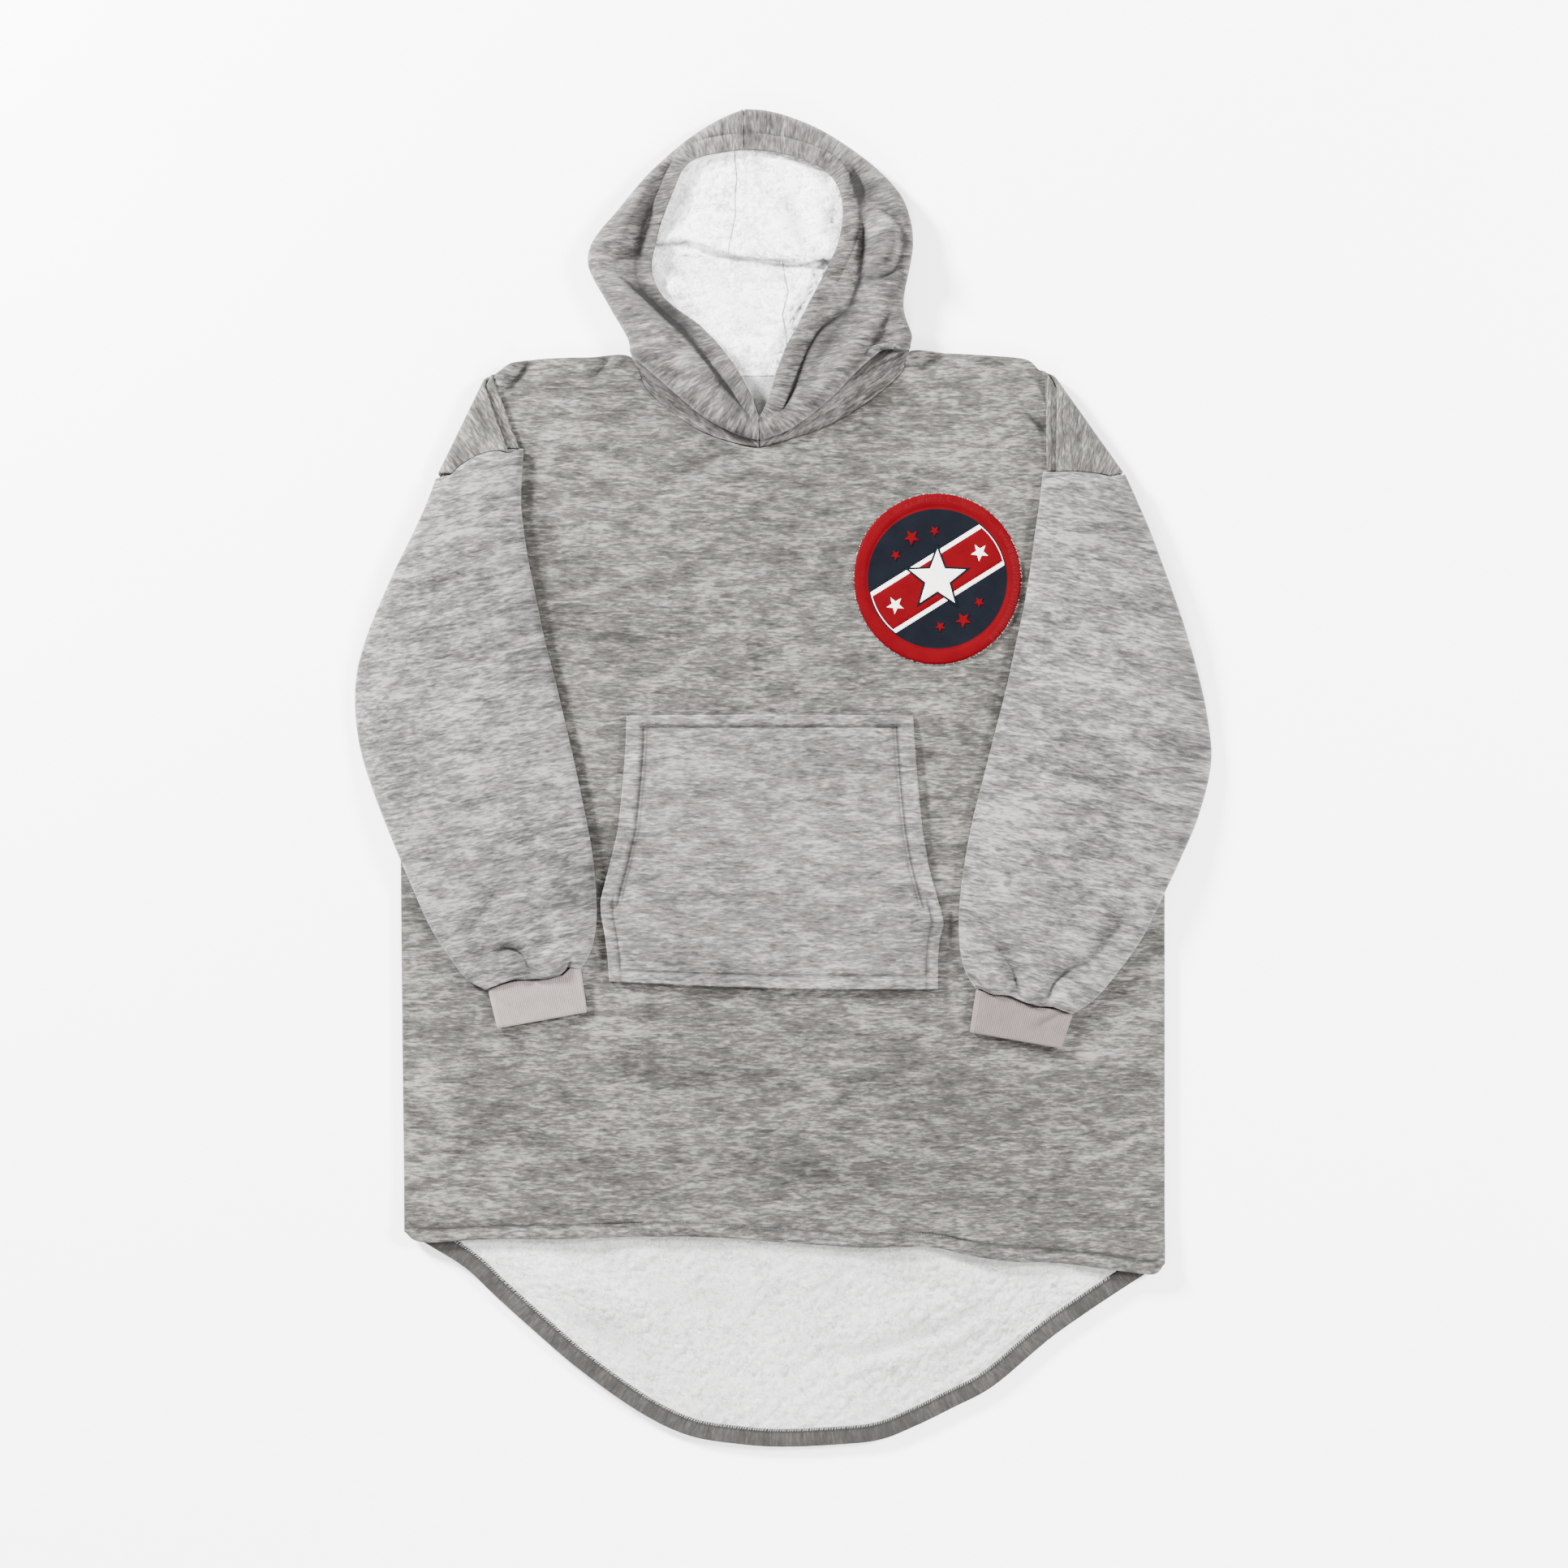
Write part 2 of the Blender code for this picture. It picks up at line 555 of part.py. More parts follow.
def panel(name, bottom, first_neck, radius, level, peek, lift):
    """The front or back: a patch from hem to shoulders with the two folded flaps."""
    gap = SEAM + 0.3
    if first_neck == CORNER_ROW:
        left_neck = neck(CORNER_ROW, len(HOOD_LEFT) - 1, HOOD_LEFT, gap)
        right_neck = neck(CORNER_ROW, len(HOOD_RIGHT) - 1, HOOD_RIGHT, gap)[::-1]
        middle = (left_neck[-1] + right_neck[0]) / 2
        throat = np.vstack([left_neck[:-1], middle, right_neck[1:]])
    else:
        left_neck = neck(NAPE_ROW, CORNER_ROW, HOOD_LEFT, gap)[::-1]
        right_neck = neck(NAPE_ROW, CORNER_ROW, HOOD_RIGHT, gap)
        throat = np.vstack([left_neck, right_neck[1:]])
    left_flap = flap_points("left", radius, level, peek)
    right_flap = flap_points("right", radius, level, peek)
    top = np.vstack([left_flap[0, 0, :2], SHOULDER_LEFT, throat, SHOULDER_RIGHT[::-1],
                     right_flap[0, 0, :2]])
    columns = len(top)
    hem = curve(bottom, columns)
    sides = []
    for flap, side in ((left_flap, SIDE_LEFT), (right_flap, SIDE_RIGHT)):
        corner = hem[0] if side is SIDE_LEFT else hem[-1]
        foot = flap[-1, 0, :2]
        low = curve((tuple(corner), side[0]), 6)[:-1]
        near = corner + (low[1] - corner) * CORNER_ROW_SHARE
        high = curve((*side, tuple(foot)), 8)[:-1]
        sides.append(np.vstack([low[:1], near, low[1:], high, flap[::-1, 0, :2]]))
    flat = coons(hem, top, sides[0], sides[1])
    rows = len(flat)
    heights = np.full((rows, columns, 1), level)
    heights[0] += lift
    heights[1] += lift
    body = np.concatenate([flat, heights], axis=2)
    body[-FLAP_ROWS:, 0] = left_flap[::-1, 0]
    body[-FLAP_ROWS:, -1] = right_flap[::-1, 0]
    points = [body.reshape(-1, 3)]
    faces = grid_faces(rows, columns)
    count = rows * columns
    for flap, turned in ((left_flap, True), (right_flap, False)):
        extra = grid_faces(flap.shape[0], flap.shape[1], first=count)
        if not turned:
            extra = [tuple(reversed(face)) for face in extra]
        faces += extra
        points.append(flap.reshape(-1, 3))
        count += flap.shape[0] * flap.shape[1]
    points, faces = weld(np.vstack(points), faces)
    return wall(name, "fleece", points, faces, WALL)


def ground(x, y):
    """Height of what a sleeve lies on: the front panel, and past its edge the surface."""
    ys = [point[1] for point in SIDE_LEFT]
    left = np.interp(y, ys, [point[0] for point in SIDE_LEFT])
    right = np.interp(y, [point[1] for point in SIDE_RIGHT], [point[0] for point in SIDE_RIGHT])
    past = max(left - x, x - right)
    return FRONT_TOP * (1.0 - ease((past - DROP_START) / (DROP_END - DROP_START)))


def tube_section(inner, outer, wall_mid, opening, columns, edge_share):
    """Closed loop of a flattened tube: bottom wall out, a turn, top wall back, a turn."""
    inner = np.array(inner)
    outer = np.array(outer)
    width = np.linalg.norm(outer - inner)
    across = (outer - inner) / width
    radius = (wall_mid + opening) / 2
    start = radius + wall_mid / 2
    places = np.interp(np.linspace(0.0, 1.0, columns), [0.0, 0.75, 1.0], [0.0, edge_share, 1.0])
    run = start + places * (width - 2 * start)
    loop = []
    for place, share in zip(run, places):
        point = inner + across * place
        loop.append([*point, 0.0, 0.0, share])
    for turn in (-45.0, 0.0, 45.0):
        angle = math.radians(turn)
        point = inner + across * (width - start + radius * math.cos(angle))
        loop.append([*point, radius + radius * math.sin(angle), 0.0, 1.0])
    for place, share in zip(run[::-1], places[::-1]):
        point = inner + across * place
        loop.append([*point, 2 * radius, 1.0, share])
    for turn in (45.0, 0.0, -45.0):
        angle = math.radians(turn)
        point = inner + across * (start - radius * math.cos(angle))
        loop.append([*point, radius + radius * math.sin(angle), 0.0, 0.0])
    return np.array(loop)


def sleeve(side):
    """An open tube from the armhole to the cuff, flattened on the body and the surface."""
    table = np.array(SLEEVES[side])
    columns = FLAP_ROWS + 2
    mid = WALL + LAYER
    rows = []
    for index, (inner_x, inner_y, outer_x, outer_y, puff) in enumerate(table):
        inner = np.array([inner_x, inner_y])
        outer = np.array([outer_x, outer_y])
        span = np.linspace(0.0, 1.0, 40)
        line = inner[None] + (outer - inner)[None] * span[:, None]
        low = [ground(*point) for point in line]
        inside = span[np.argmax(np.array(low) < FRONT_TOP - 0.01)] if min(low) < FRONT_TOP - 0.01 else 1.0
        edge_share = min(max(inside, INSIDE_SHARE[0]), INSIDE_SHARE[1])
        loop = tube_section(inner, outer, SLEEVE_WALL, SLEEVE_GAP, columns, edge_share)
        left = (len(table) - 1 - index) * SLEEVE_ROW_LENGTH
        wave = GATHER_HEIGHT * math.exp(-left / GATHER_REACH)
        row = []
        for x, y, height, on_top, share in loop:
            base = ground(x, y) + CLEAR + SLEEVE_WALL / 2
            bulge = math.sin(math.pi * share)
            fold = wave * (1 + math.cos(2 * math.pi * GATHERS * share)) / 2 * bulge
            row.append((x, y, base + height + on_top * (puff * bulge ** 0.5 + fold)))
        rows.append(row)
    grid = np.array(rows)
    grid[0] = armhole_loop(side, grid[0], columns)
    return wall(f"sleeve_{side}", "sleeve", grid.reshape(-1, 3),
                grid_faces(*grid.shape[:2], closed=True), SLEEVE_WALL, tube=True)


def armhole_loop(side, loop, columns):
    """Fit a sleeve's first section to the seam edges of the two shoulder flaps."""
    fitted = loop.copy()
    below = np.array([0.0, -(SEAM + 0.5)])
    shares = np.linspace(0.0, 1.0, columns - 2)
    low = np.array([armhole(side, share, 1.0) for share in shares])
    high = np.array([armhole(side, share) for share in shares])
    outer = loop[columns + 1, :2]
    step = (outer - high[-1]) * ARMHOLE_STEP
    low = np.vstack([low, low[-1] + step, low[-1] + 2 * step])
    high = np.vstack([low[:1], high, high[-1] + step])
    fitted[:columns, :2] = low + below
    fitted[:columns, 2] = FRONT_MID + 2 * FRONT_FOLD
    fitted[columns + 3:2 * columns + 3, :2] = high[::-1] + below
    fitted[columns + 3:2 * columns + 3, 2] = BACK_MID + 2 * BACK_FOLD
    across = (low[-1] - low[0]) / np.linalg.norm(low[-1] - low[0])
    radius = (BACK_MID - FRONT_MID) / 2 + BACK_FOLD - FRONT_FOLD
    for number, angle in enumerate((-45.0, 0.0, 45.0)):
        out = across * radius * math.cos(math.radians(angle))
        height = FRONT_MID + 2 * FRONT_FOLD + radius * (1.0 + math.sin(math.radians(angle)))
        fitted[columns + number] = (*(low[-1] + below + out), height)
        fitted[-1 - number] = (*(low[0] + below - out), height)
    return fitted


def cuff(side):
    """An open rib-knit tube; the ribs stand on its outer side and run along it."""
    inner_top, outer_top, inner_end, outer_end = [np.array(point) for point in CUFFS[side]]
    radius = (CUFF_WALL + CUFF_HOLLOW) / 2
    start = radius + CUFF_WALL / 2 + RIB_HEIGHT
    rows = []
    raised = []
    for share in (0.0, 1.0):
        inner = inner_top + (inner_end - inner_top) * share
        outer = outer_top + (outer_end - outer_top) * share
        width = np.linalg.norm(outer - inner)
        across = (outer - inner) / width
        straight = width - 2 * start
        round_length = math.pi * radius
        total = 2 * (straight + round_length)
        base = FRONT_TOP + CLEAR + CUFF_WALL / 2 + RIB_HEIGHT
        for index in range(2 * RIBS):
            run = total * index / (2 * RIBS)
            if run < straight:
                place, height = start + run, 0.0
            elif run < straight + round_length:
                angle = (run - straight) / radius
                place = start + straight + radius * math.sin(angle)
                height = radius - radius * math.cos(angle)
            elif run < 2 * straight + round_length:
                place, height = start + 2 * straight + round_length - run, 2 * radius
            else:
                angle = (run - 2 * straight - round_length) / radius
                place = start - radius * math.sin(angle)
                height = radius + radius * math.cos(angle)
            rows.append((*(inner + across * place), base + height))
            raised.append(RIB_HEIGHT if index % 2 else 0.0)
    return wall(f"cuff_{side}", "rib", rows, grid_faces(2, 2 * RIBS, closed=True), CUFF_WALL,
                np.array(raised), tube=True)


def resample(path, distances):
    """Points at these distances along a path."""
    path = np.array(path)
    run = np.concatenate([[0.0], np.cumsum(np.linalg.norm(np.diff(path, axis=0), axis=1))])
    return np.stack([np.interp(distances, run, column) for column in path.T], axis=1), run[-1]


def hood_section(index, row):
    """Mid-wall points of one section: along the bottom, up round the fold and back to the face.

    Towards the corner of the neck the cloth stands up from its seam, and beyond it the cloth comes
    from the outside of the fold.
    """
    start = np.array(row[0:2])
    fold = np.array(row[3:5])
    face = np.array(row[5:7])
    start_z, top_z, dip, face_z = row[2], row[7], row[8], row[9]
    inward = face - fold
    length = np.linalg.norm(inward)
    inward /= length
    half = HOOD_WALL / 2
    edge = fold + inward * half
    rise = (top_z - start_z) / 2
    under = (start - edge) @ inward
    turned = float(ease(abs(index - CORNER_ROW) / 3.0))
    foot_reach = min(max(under, -rise * FOOT_REACH[0] * turned), rise * FOOT_REACH[1] * turned)
    foot = edge + inward * foot_reach
    leg = np.linalg.norm(foot - start)
    path = [(*start, start_z)]
    for angle in range(0, 91, 15):
        turn = math.radians(angle)
        reach = foot_reach * (1.0 - math.sin(turn))
        path.append((*(edge + inward * reach), start_z + rise * (1.0 - math.cos(turn))))
    total = resample(path, [0.0])[1]
    steps = HOOD_LOWER_COLUMNS + 3
    even = total * np.arange(steps) / steps
    arc = total - leg
    apart = np.concatenate([leg * np.arange(HOOD_LOWER_COLUMNS) / HOOD_LOWER_COLUMNS,
                            leg + arc * np.arange(3) / 3])
    long_leg = min(leg / LONG_LEG, 1.0)
    points = list(resample(path, apart * long_leg + even * (1.0 - long_leg))[0])
    shoulder = min(rise * ROLL_SHOULDER[0], (length - half) * ROLL_SHOULDER[1])
    for angle in (0.0, 30.0, 60.0, 90.0):
        turn = math.radians(angle)
        reach = shoulder * (1.0 - math.cos(turn))
        points.append((*(edge + inward * reach), start_z + rise + rise * math.sin(turn)))
    for step in range(1, HOOD_UPPER_COLUMNS - 2):
        share = step / (HOOD_UPPER_COLUMNS - 3)
        reach = shoulder + (length - half - shoulder) * share
        trough = dip * math.exp(-((share - TROUGH[0]) / TROUGH[1]) ** 2)
        height = top_z + (face_z - top_z) * ease(share) - trough
        points.append((*(edge + inward * reach), height))
    return points


def hood(name, table):
    rows = np.array(table)
    places = [*range(CORNER_ROW - 1), *np.arange(CORNER_ROW - 1, CORNER_ROW + 1, 0.5),
              *range(CORNER_ROW + 1, len(rows))]
    grid = []
    for place in places:
        below = int(place)
        row = rows[below]
        if place != below:
            row = (row + rows[below + 1]) / 2
            row[2] = rows[below][2] if below < CORNER_ROW else rows[below + 1][2]
        grid.append(hood_section(place, row))
    grid = np.array(grid)
    rows, columns = grid.shape[:2]
    starts = [number * columns for number, place in enumerate(places)
              if number and abs(place - CORNER_ROW) >= 1]
    ends = [*range(columns), *range((rows - 1) * columns, rows * columns)]
    corner = places.index(CORNER_ROW)
    out = np.array([math.copysign(1.0, table[CORNER_ROW][0]), CORNER_TILT, 0.0])
    upright = {corner * columns + column: out for column in range(HOOD_LOWER_COLUMNS + 3)}
    return wall(name, "hood", grid.reshape(-1, 3), grid_faces(rows, columns), HOOD_WALL,
                level=starts, facing=ends, fixed=upright)


def hood_lining(side):
    """The sherpa inside the hood, with the tuck that lies across it."""
    outer_column = 2 if side == "left" else 3
    rows = []
    for row in LINING_ROWS:
        y, centre, height = row[0], row[1], row[4]
        gap = SEAM / 2 if side == "right" else -SEAM / 2
        inner = centre + gap
        outer = row[outer_column]
        line = []
        for share in np.linspace(0.0, 1.0, LINING_STEPS):
            x = inner + (outer - inner) * share
            sag = TUCK_SAG * math.exp(-((y - TUCK_Y) / TUCK_WIDTH) ** 2) * (1.0 - share ** 2)
            level = WALL + SEAM + HOOD_LINING_WALL / 2 + height
            line.append((x, y - sag, level))
        rows.append(line)
    grid = np.array(rows)
    return wall(f"hood_lining_{side}", "sherpa", grid.reshape(-1, 3), grid_faces(*grid.shape[:2]),
                HOOD_LINING_WALL)


def tail():
    """The sherpa that faces up on the tail, and the gray band turned over its edge."""
    columns = 25
    edge = curve(TAIL_EDGE, 60)
    run = np.gradient(edge, axis=0)
    run /= np.linalg.norm(run, axis=1)[:, None]
    inward = np.stack([-run[:, 1], run[:, 0]], axis=1)
    outer_line = edge + inward * BAND_INSET
    inner_line = edge + inward * BAND_WIDTH
    left, right = TAIL_EDGE[1][0] + BAND_END, TAIL_EDGE[-2][0] - BAND_END
    xs = np.linspace(left, right, columns)
    low = np.stack([xs, np.interp(xs, outer_line[:, 0], outer_line[:, 1])], axis=1)
    high = np.stack([xs, np.interp(xs, inner_line[:, 0], inner_line[:, 1])], axis=1)
    level = WALL + TAIL_LAYER + BAND_WALL / 2
    band = np.concatenate([np.stack([low, high]), np.full((2, columns, 1), level)], axis=2)
    wall("back_hem_band", "band", band.reshape(-1, 3), grid_faces(2, columns), BAND_WALL)
    inner_line = inner_line + inward * SEAM
    xs = xs[1:-1]
    low = np.interp(xs, inner_line[:, 0], inner_line[:, 1])
    high = edge_at(FRONT_HEM, xs) + HEM_LAP
    rows = []
    level = WALL + TAIL_LAYER + LINING_WALL / 2
    for share in np.linspace(0.0, 1.0, 5):
        rows.append(np.stack([xs, low + (high - low) * share, np.full(len(xs), level)], axis=1))
    grid = np.array(rows)
    wall("back_lining", "sherpa", grid.reshape(-1, 3), grid_faces(*grid.shape[:2]), LINING_WALL)


def pocket():
    """A flat pocket whose edges are hems, a little higher than the cloth between."""
    table = np.array(POCKET)
    height = table[0, 2] - table[-1, 2]
    step = POCKET_HEM_STEP
    marks = [0.0, POCKET_EDGE_HEM - step, POCKET_EDGE_HEM]
    marks += list(height * np.array(POCKET_ROWS))
    marks += [height - POCKET_EDGE_HEM, height - POCKET_EDGE_HEM + step, height]
    depth = table[0, 2] - table[:, 2]
    rows = []
    raised = []
    for index, mark in enumerate(marks):
        left, right, y_left, y_right = [np.interp(mark, depth, column) for column in table.T]
        slanted = POCKET_EDGE_HEM < mark < height * POCKET_SLANT_END
        hem = POCKET_SIDE_HEM if slanted else POCKET_EDGE_HEM
        width = right - left
        inner = np.linspace(hem, width - hem, 8)
        run = np.concatenate([[0.0, hem - step], inner, [width - hem + step, width]])
        bow = POCKET_SAG * (mark / height) ** 6
        for column, place in enumerate(run):
            share = place / width
            y = y_left + (y_right - y_left) * share - bow * math.sin(math.pi * share)
            rows.append((left + place, y, FRONT_TOP + LAYER - POCKET_PRESS + POCKET_WALL / 2))
            in_edge = index < 2 or index > len(marks) - 3
            in_side = column < 2 or column > len(run) - 3
            raised.append(POCKET_HEM_RISE if in_edge or in_side else 0.0)
    return wall("pocket", "pocket", rows, grid_faces(len(marks), len(run)), POCKET_WALL,
                np.array(raised))


def patch():
    """A round applique with a raised rim."""
    around = 48
    rim_start = 1.0 - PATCH_RIM_WIDTH / PATCH_RADII[0]
    rings = (
        # (share of the radius, raised)
        (1.0, 0.0),
        (0.985, PATCH_RIM_RISE),
        (rim_start + 0.02, PATCH_RIM_RISE),
        (rim_start, 0.0),
    )
    level = FRONT_TOP + SEAM + PATCH_WALL / 2
    points = []
    raised = []
    for share, rise in rings:
        for index in range(around):
            angle = 2 * math.pi * index / around
            points.append((PATCH_CENTRE[0] + PATCH_RADII[0] * share * math.cos(angle),
                           PATCH_CENTRE[1] + PATCH_RADII[1] * share * math.sin(angle), level))
            raised.append(rise)
    faces = grid_faces(len(rings), around, closed=True)
    faces.append(tuple(range((len(rings) - 1) * around, len(rings) * around)))
    return wall("patch", "patch", points, faces, PATCH_WALL, np.array(raised))


def main():
    panel("back_panel", TAIL_EDGE, NAPE_ROW, BACK_FOLD, BACK_MID, 0.0, 0.0)
    panel("front_panel", FRONT_HEM, CORNER_ROW, FRONT_FOLD, FRONT_MID, 1.0, HEM_LIFT)
    for side in ("left", "right"):
        sleeve(side)
        cuff(side)
        hood_lining(side)
    hood("hood_left", HOOD_LEFT)
    hood("hood_right", HOOD_RIGHT)
    tail()
    pocket()
    patch()


clear_scene()
GARMENT = bpy.data.collections.new("wearable_blanket_hoodie")
bpy.context.scene.collection.children.link(GARMENT)
main()
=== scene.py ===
"""Looks of the wearable blanket hoodie: cloth shells, creases, sewing, pile and finishes.

The tables and the forms made from them repeat those of the solids, so that each shell lies on its
solid. Tables and working values are in millimetres; objects are built in metres.
"""
import math

import bpy
import numpy as np
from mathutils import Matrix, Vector
from mathutils.bvhtree import BVHTree


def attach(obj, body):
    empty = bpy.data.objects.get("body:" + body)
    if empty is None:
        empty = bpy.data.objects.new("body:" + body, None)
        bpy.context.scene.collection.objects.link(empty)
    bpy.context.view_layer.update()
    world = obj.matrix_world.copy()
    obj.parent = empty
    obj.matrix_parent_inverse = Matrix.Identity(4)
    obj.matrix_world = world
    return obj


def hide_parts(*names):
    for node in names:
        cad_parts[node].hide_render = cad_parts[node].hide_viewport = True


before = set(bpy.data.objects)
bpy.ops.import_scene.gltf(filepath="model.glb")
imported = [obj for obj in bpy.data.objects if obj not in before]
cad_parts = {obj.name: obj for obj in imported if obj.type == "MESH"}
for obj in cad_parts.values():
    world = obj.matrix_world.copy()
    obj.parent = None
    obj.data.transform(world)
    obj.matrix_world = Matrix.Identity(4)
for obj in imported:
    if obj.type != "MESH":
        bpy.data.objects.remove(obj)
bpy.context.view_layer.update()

MM = 0.001

# Cloth
WALL = 4.0            # fleece with its sherpa backing, pressed flat
SEAM = 0.3            # gap between two pieces that are sewn together
LAYER = 0.6           # gap between panels that lie on each other
CLEAR = 0.9           # gap under a sleeve or a cuff, which bends over the body's edge
BACK_MID = WALL / 2
FRONT_MID = BACK_MID + WALL + LAYER
FRONT_TOP = FRONT_MID + WALL / 2

# Tail
LINING_WALL = 2.0
BAND_WALL = 2.4
BAND_WIDTH = 19.0
HEM_LIFT = 2.3        # the tail's lining holds the front hem up by this
HEM_LAP = 16.0        # the lining and band run on under the front hem
TAIL_LAYER = 0.3

# Outline of the body: side edges, listed from the hem to where the shoulder folds over
SIDE_LEFT = (
    # (x, y)
    (-401.0, -84.0), (-400.0, 120.0), (-399.0, 186.0), (-394.0, 228.0), (-380.0, 271.0),
)
SIDE_RIGHT = (
    # (x, y)
    (400.0, -84.0), (400.0, 120.0), (399.0, 186.0), (391.0, 228.0), (376.0, 271.0),
)
FRONT_HEM = (
    # (x, y)
    (-397.0, -475.0), (-378.0, -486.0), (-309.0, -483.0), (-230.0, -482.0), (-152.0, -480.0),
    (-85.0, -480.0), (-4.0, -486.0), (75.0, -491.0), (150.0, -491.0), (190.0, -498.0),
    (235.0, -505.0), (290.0, -508.0), (356.0, -516.0), (388.0, -520.0), (400.0, -508.0),
)
TAIL_EDGE = (
    # (x, y)
    (-397.0, -475.0), (-376.0, -488.0), (-334.0, -514.0), (-303.0, -543.0), (-262.0, -580.0),
    (-214.0, -621.0), (-152.0, -665.0), (-100.0, -690.0), (-48.0, -699.0), (-4.0, -702.0),
    (52.0, -700.0), (100.0, -695.0), (137.0, -681.0), (180.0, -660.0), (221.0, -638.0),
    (278.0, -590.0), (320.0, -560.0), (356.0, -536.0), (378.0, -522.0), (400.0, -508.0),
)
# Shoulder edge between the fold of each shoulder and the neck
SHOULDER_LEFT = (
    # (x, y)
    (-280.0, 436.0), (-243.0, 440.0), (-204.0, 441.0),
)
SHOULDER_RIGHT = (
    # (x, y)
    (254.0, 439.0), (214.0, 443.0), (176.0, 445.0),
)

# Each shoulder is folded forward along a slanting line. The fold runs from its top to its foot, and
# the flap behind it lands between the fold and the shoulder seam, which ends at the sleeve head.
FLAPS = {
    "left": {"top": (-300.0, 424.0), "foot": (-355.5, 310.0), "head": (-287.0, 340.0),
             "foot_in": (-346.0, 318.0), "rise": 9.0, "peek": 12.0},
    "right": {"top": (268.0, 428.0), "foot": (350.5, 312.0), "head": (285.0, 320.0),
              "foot_in": (341.0, 315.5), "rise": 2.0, "peek": 9.0},
}
FLAP_ROWS = 7
FOLD_STEPS = 5
FRONT_FOLD = 2.5                                   # radius of the front's own fold, at mid wall
BACK_FOLD = FRONT_FOLD + WALL + 0.9                # the back's fold goes round the front's

# Sleeves, from the armhole down to the cuff: inner edge, outer edge, and how far they puff up
SLEEVES = {
    "left": (
        # (inner x, inner y, outer x, outer y, puff)
        (-275.0, 327.0, -361.0, 314.5, 0.0),
        (-274.0, 298.0, -373.0, 287.0, 0.8),
        (-272.0, 266.0, -386.0, 258.0, 1.6),
        (-266.0, 226.0, -402.0, 226.0, 2.2),
        (-258.0, 186.0, -419.0, 190.0, 2.6),
        (-249.0, 143.0, -436.0, 150.0, 2.8),
        (-239.0, 105.0, -447.0, 111.0, 2.8),
        (-230.0, 67.0, -449.0, 71.0, 2.8),
        (-220.0, 24.0, -443.0, 28.0, 2.8),
        (-210.0, -23.0, -428.0, -18.0, 2.8),
        (-201.0, -69.0, -409.0, -65.0, 2.8),
        (-196.0, -112.0, -389.0, -112.0, 2.8),
        (-195.0, -148.0, -370.0, -154.0, 2.6),
        (-199.0, -174.0, -350.0, -186.0, 2.2),
        (-206.0, -189.0, -332.0, -208.0, 1.6),
        (-212.0, -196.0, -312.0, -219.0, 1.0),
    ),
    "right": (
        # (inner x, inner y, outer x, outer y, puff)
        (272.0, 312.0, 355.5, 318.0, 0.0),
        (268.0, 288.0, 371.0, 288.0, 0.8),
        (264.0, 262.0, 384.0, 258.0, 1.6),
        (259.0, 224.0, 396.0, 226.0, 2.2),
        (252.0, 181.0, 410.0, 188.0, 2.6),
        (243.0, 139.0, 423.0, 150.0, 2.8),
        (234.0, 97.0, 435.0, 109.0, 2.8),
        (222.0, 50.0, 445.0, 64.0, 2.8),
        (210.0, 3.0, 449.0, 16.0, 2.8),
        (198.0, -44.0, 436.0, -38.0, 2.8),
        (189.0, -92.0, 417.0, -82.0, 2.8),
        (184.0, -135.0, 398.0, -122.0, 2.8),
        (184.0, -171.0, 376.0, -166.0, 2.6),
        (188.0, -195.0, 352.0, -200.0, 2.2),
        (194.0, -207.0, 329.0, -227.0, 1.6),
        (202.0, -217.0, 303.0, -244.0, 1.0),
    ),
}
SLEEVE_WALL = 4.0
SLEEVE_GAP = 1.1                 # between the two walls at the flattened edges
DROP_START = 3.0                 # past the body's edge a sleeve sinks to the surface, from here
DROP_END = 48.0                  # to here
GATHERS = 5                      # waves where the sleeve is drawn into its cuff
GATHER_HEIGHT = 2.2
GATHER_REACH = 28.0

# Cuffs: corners of the top edge, which meets the sleeve, and of the open end
CUFFS = {
    # (inner x, inner y), (outer x, outer y), then the same at the open end
    "left": ((-212.0, -197.5), (-309.0, -221.0), (-205.0, -245.0), (-299.0, -262.0)),
    "right": ((202.0, -219.5), (303.0, -247.0), (195.0, -266.0), (291.0, -283.0)),
}
CUFF_WALL = 2.6
CUFF_HOLLOW = 1.6
RIBS = 96                        # round each cuff
RIB_HEIGHT = 0.7

# Pocket
POCKET = (
    # (left x, right x, y left, y right), from the top edge to the bottom edge
    (-164.0, 136.0, 65.0, 65.0),
    (-165.0, 138.0, 33.0, 33.0),
    (-168.0, 141.0, -6.0, -6.0),
    (-173.0, 146.0, -54.0, -54.0),
    (-182.0, 153.0, -92.0, -95.0),
    (-191.0, 163.0, -128.0, -132.0),
    (-191.0, 168.0, -142.0, -152.0),
    (-187.0, 164.0, -163.0, -168.0),
    (-184.0, 162.0, -186.0, -190.0),
    (-182.0, 162.0, -213.0, -221.0),
)
POCKET_WALL = 3.0
POCKET_GAP = 0.4                 # between the pocket and the front
POCKET_HEM_SHOWN = 2.2           # how much thicker its hems look
POCKET_SAG = 3.0                 # the bottom edge bows down by this in its middle
POCKET_TOP_BOW = 1.1             # and the top edge up
POCKET_WIDE_STITCH = 17.4        # from the edge of a hand opening to its stitches
POCKET_STITCH = 11.6             # from the other edges to theirs
POCKET_END_MARKS = (0.0, 2.0, 4.5, 7.5, 10.0, 11.3, 12.2, 13.2, 15.0, 17.5)
POCKET_SIDE_MARKS = (0.0, 2.0, 5.0, 8.5, 12.0, 14.8, 16.4, 17.4, 18.4, 19.8, 21.6, 24.5)

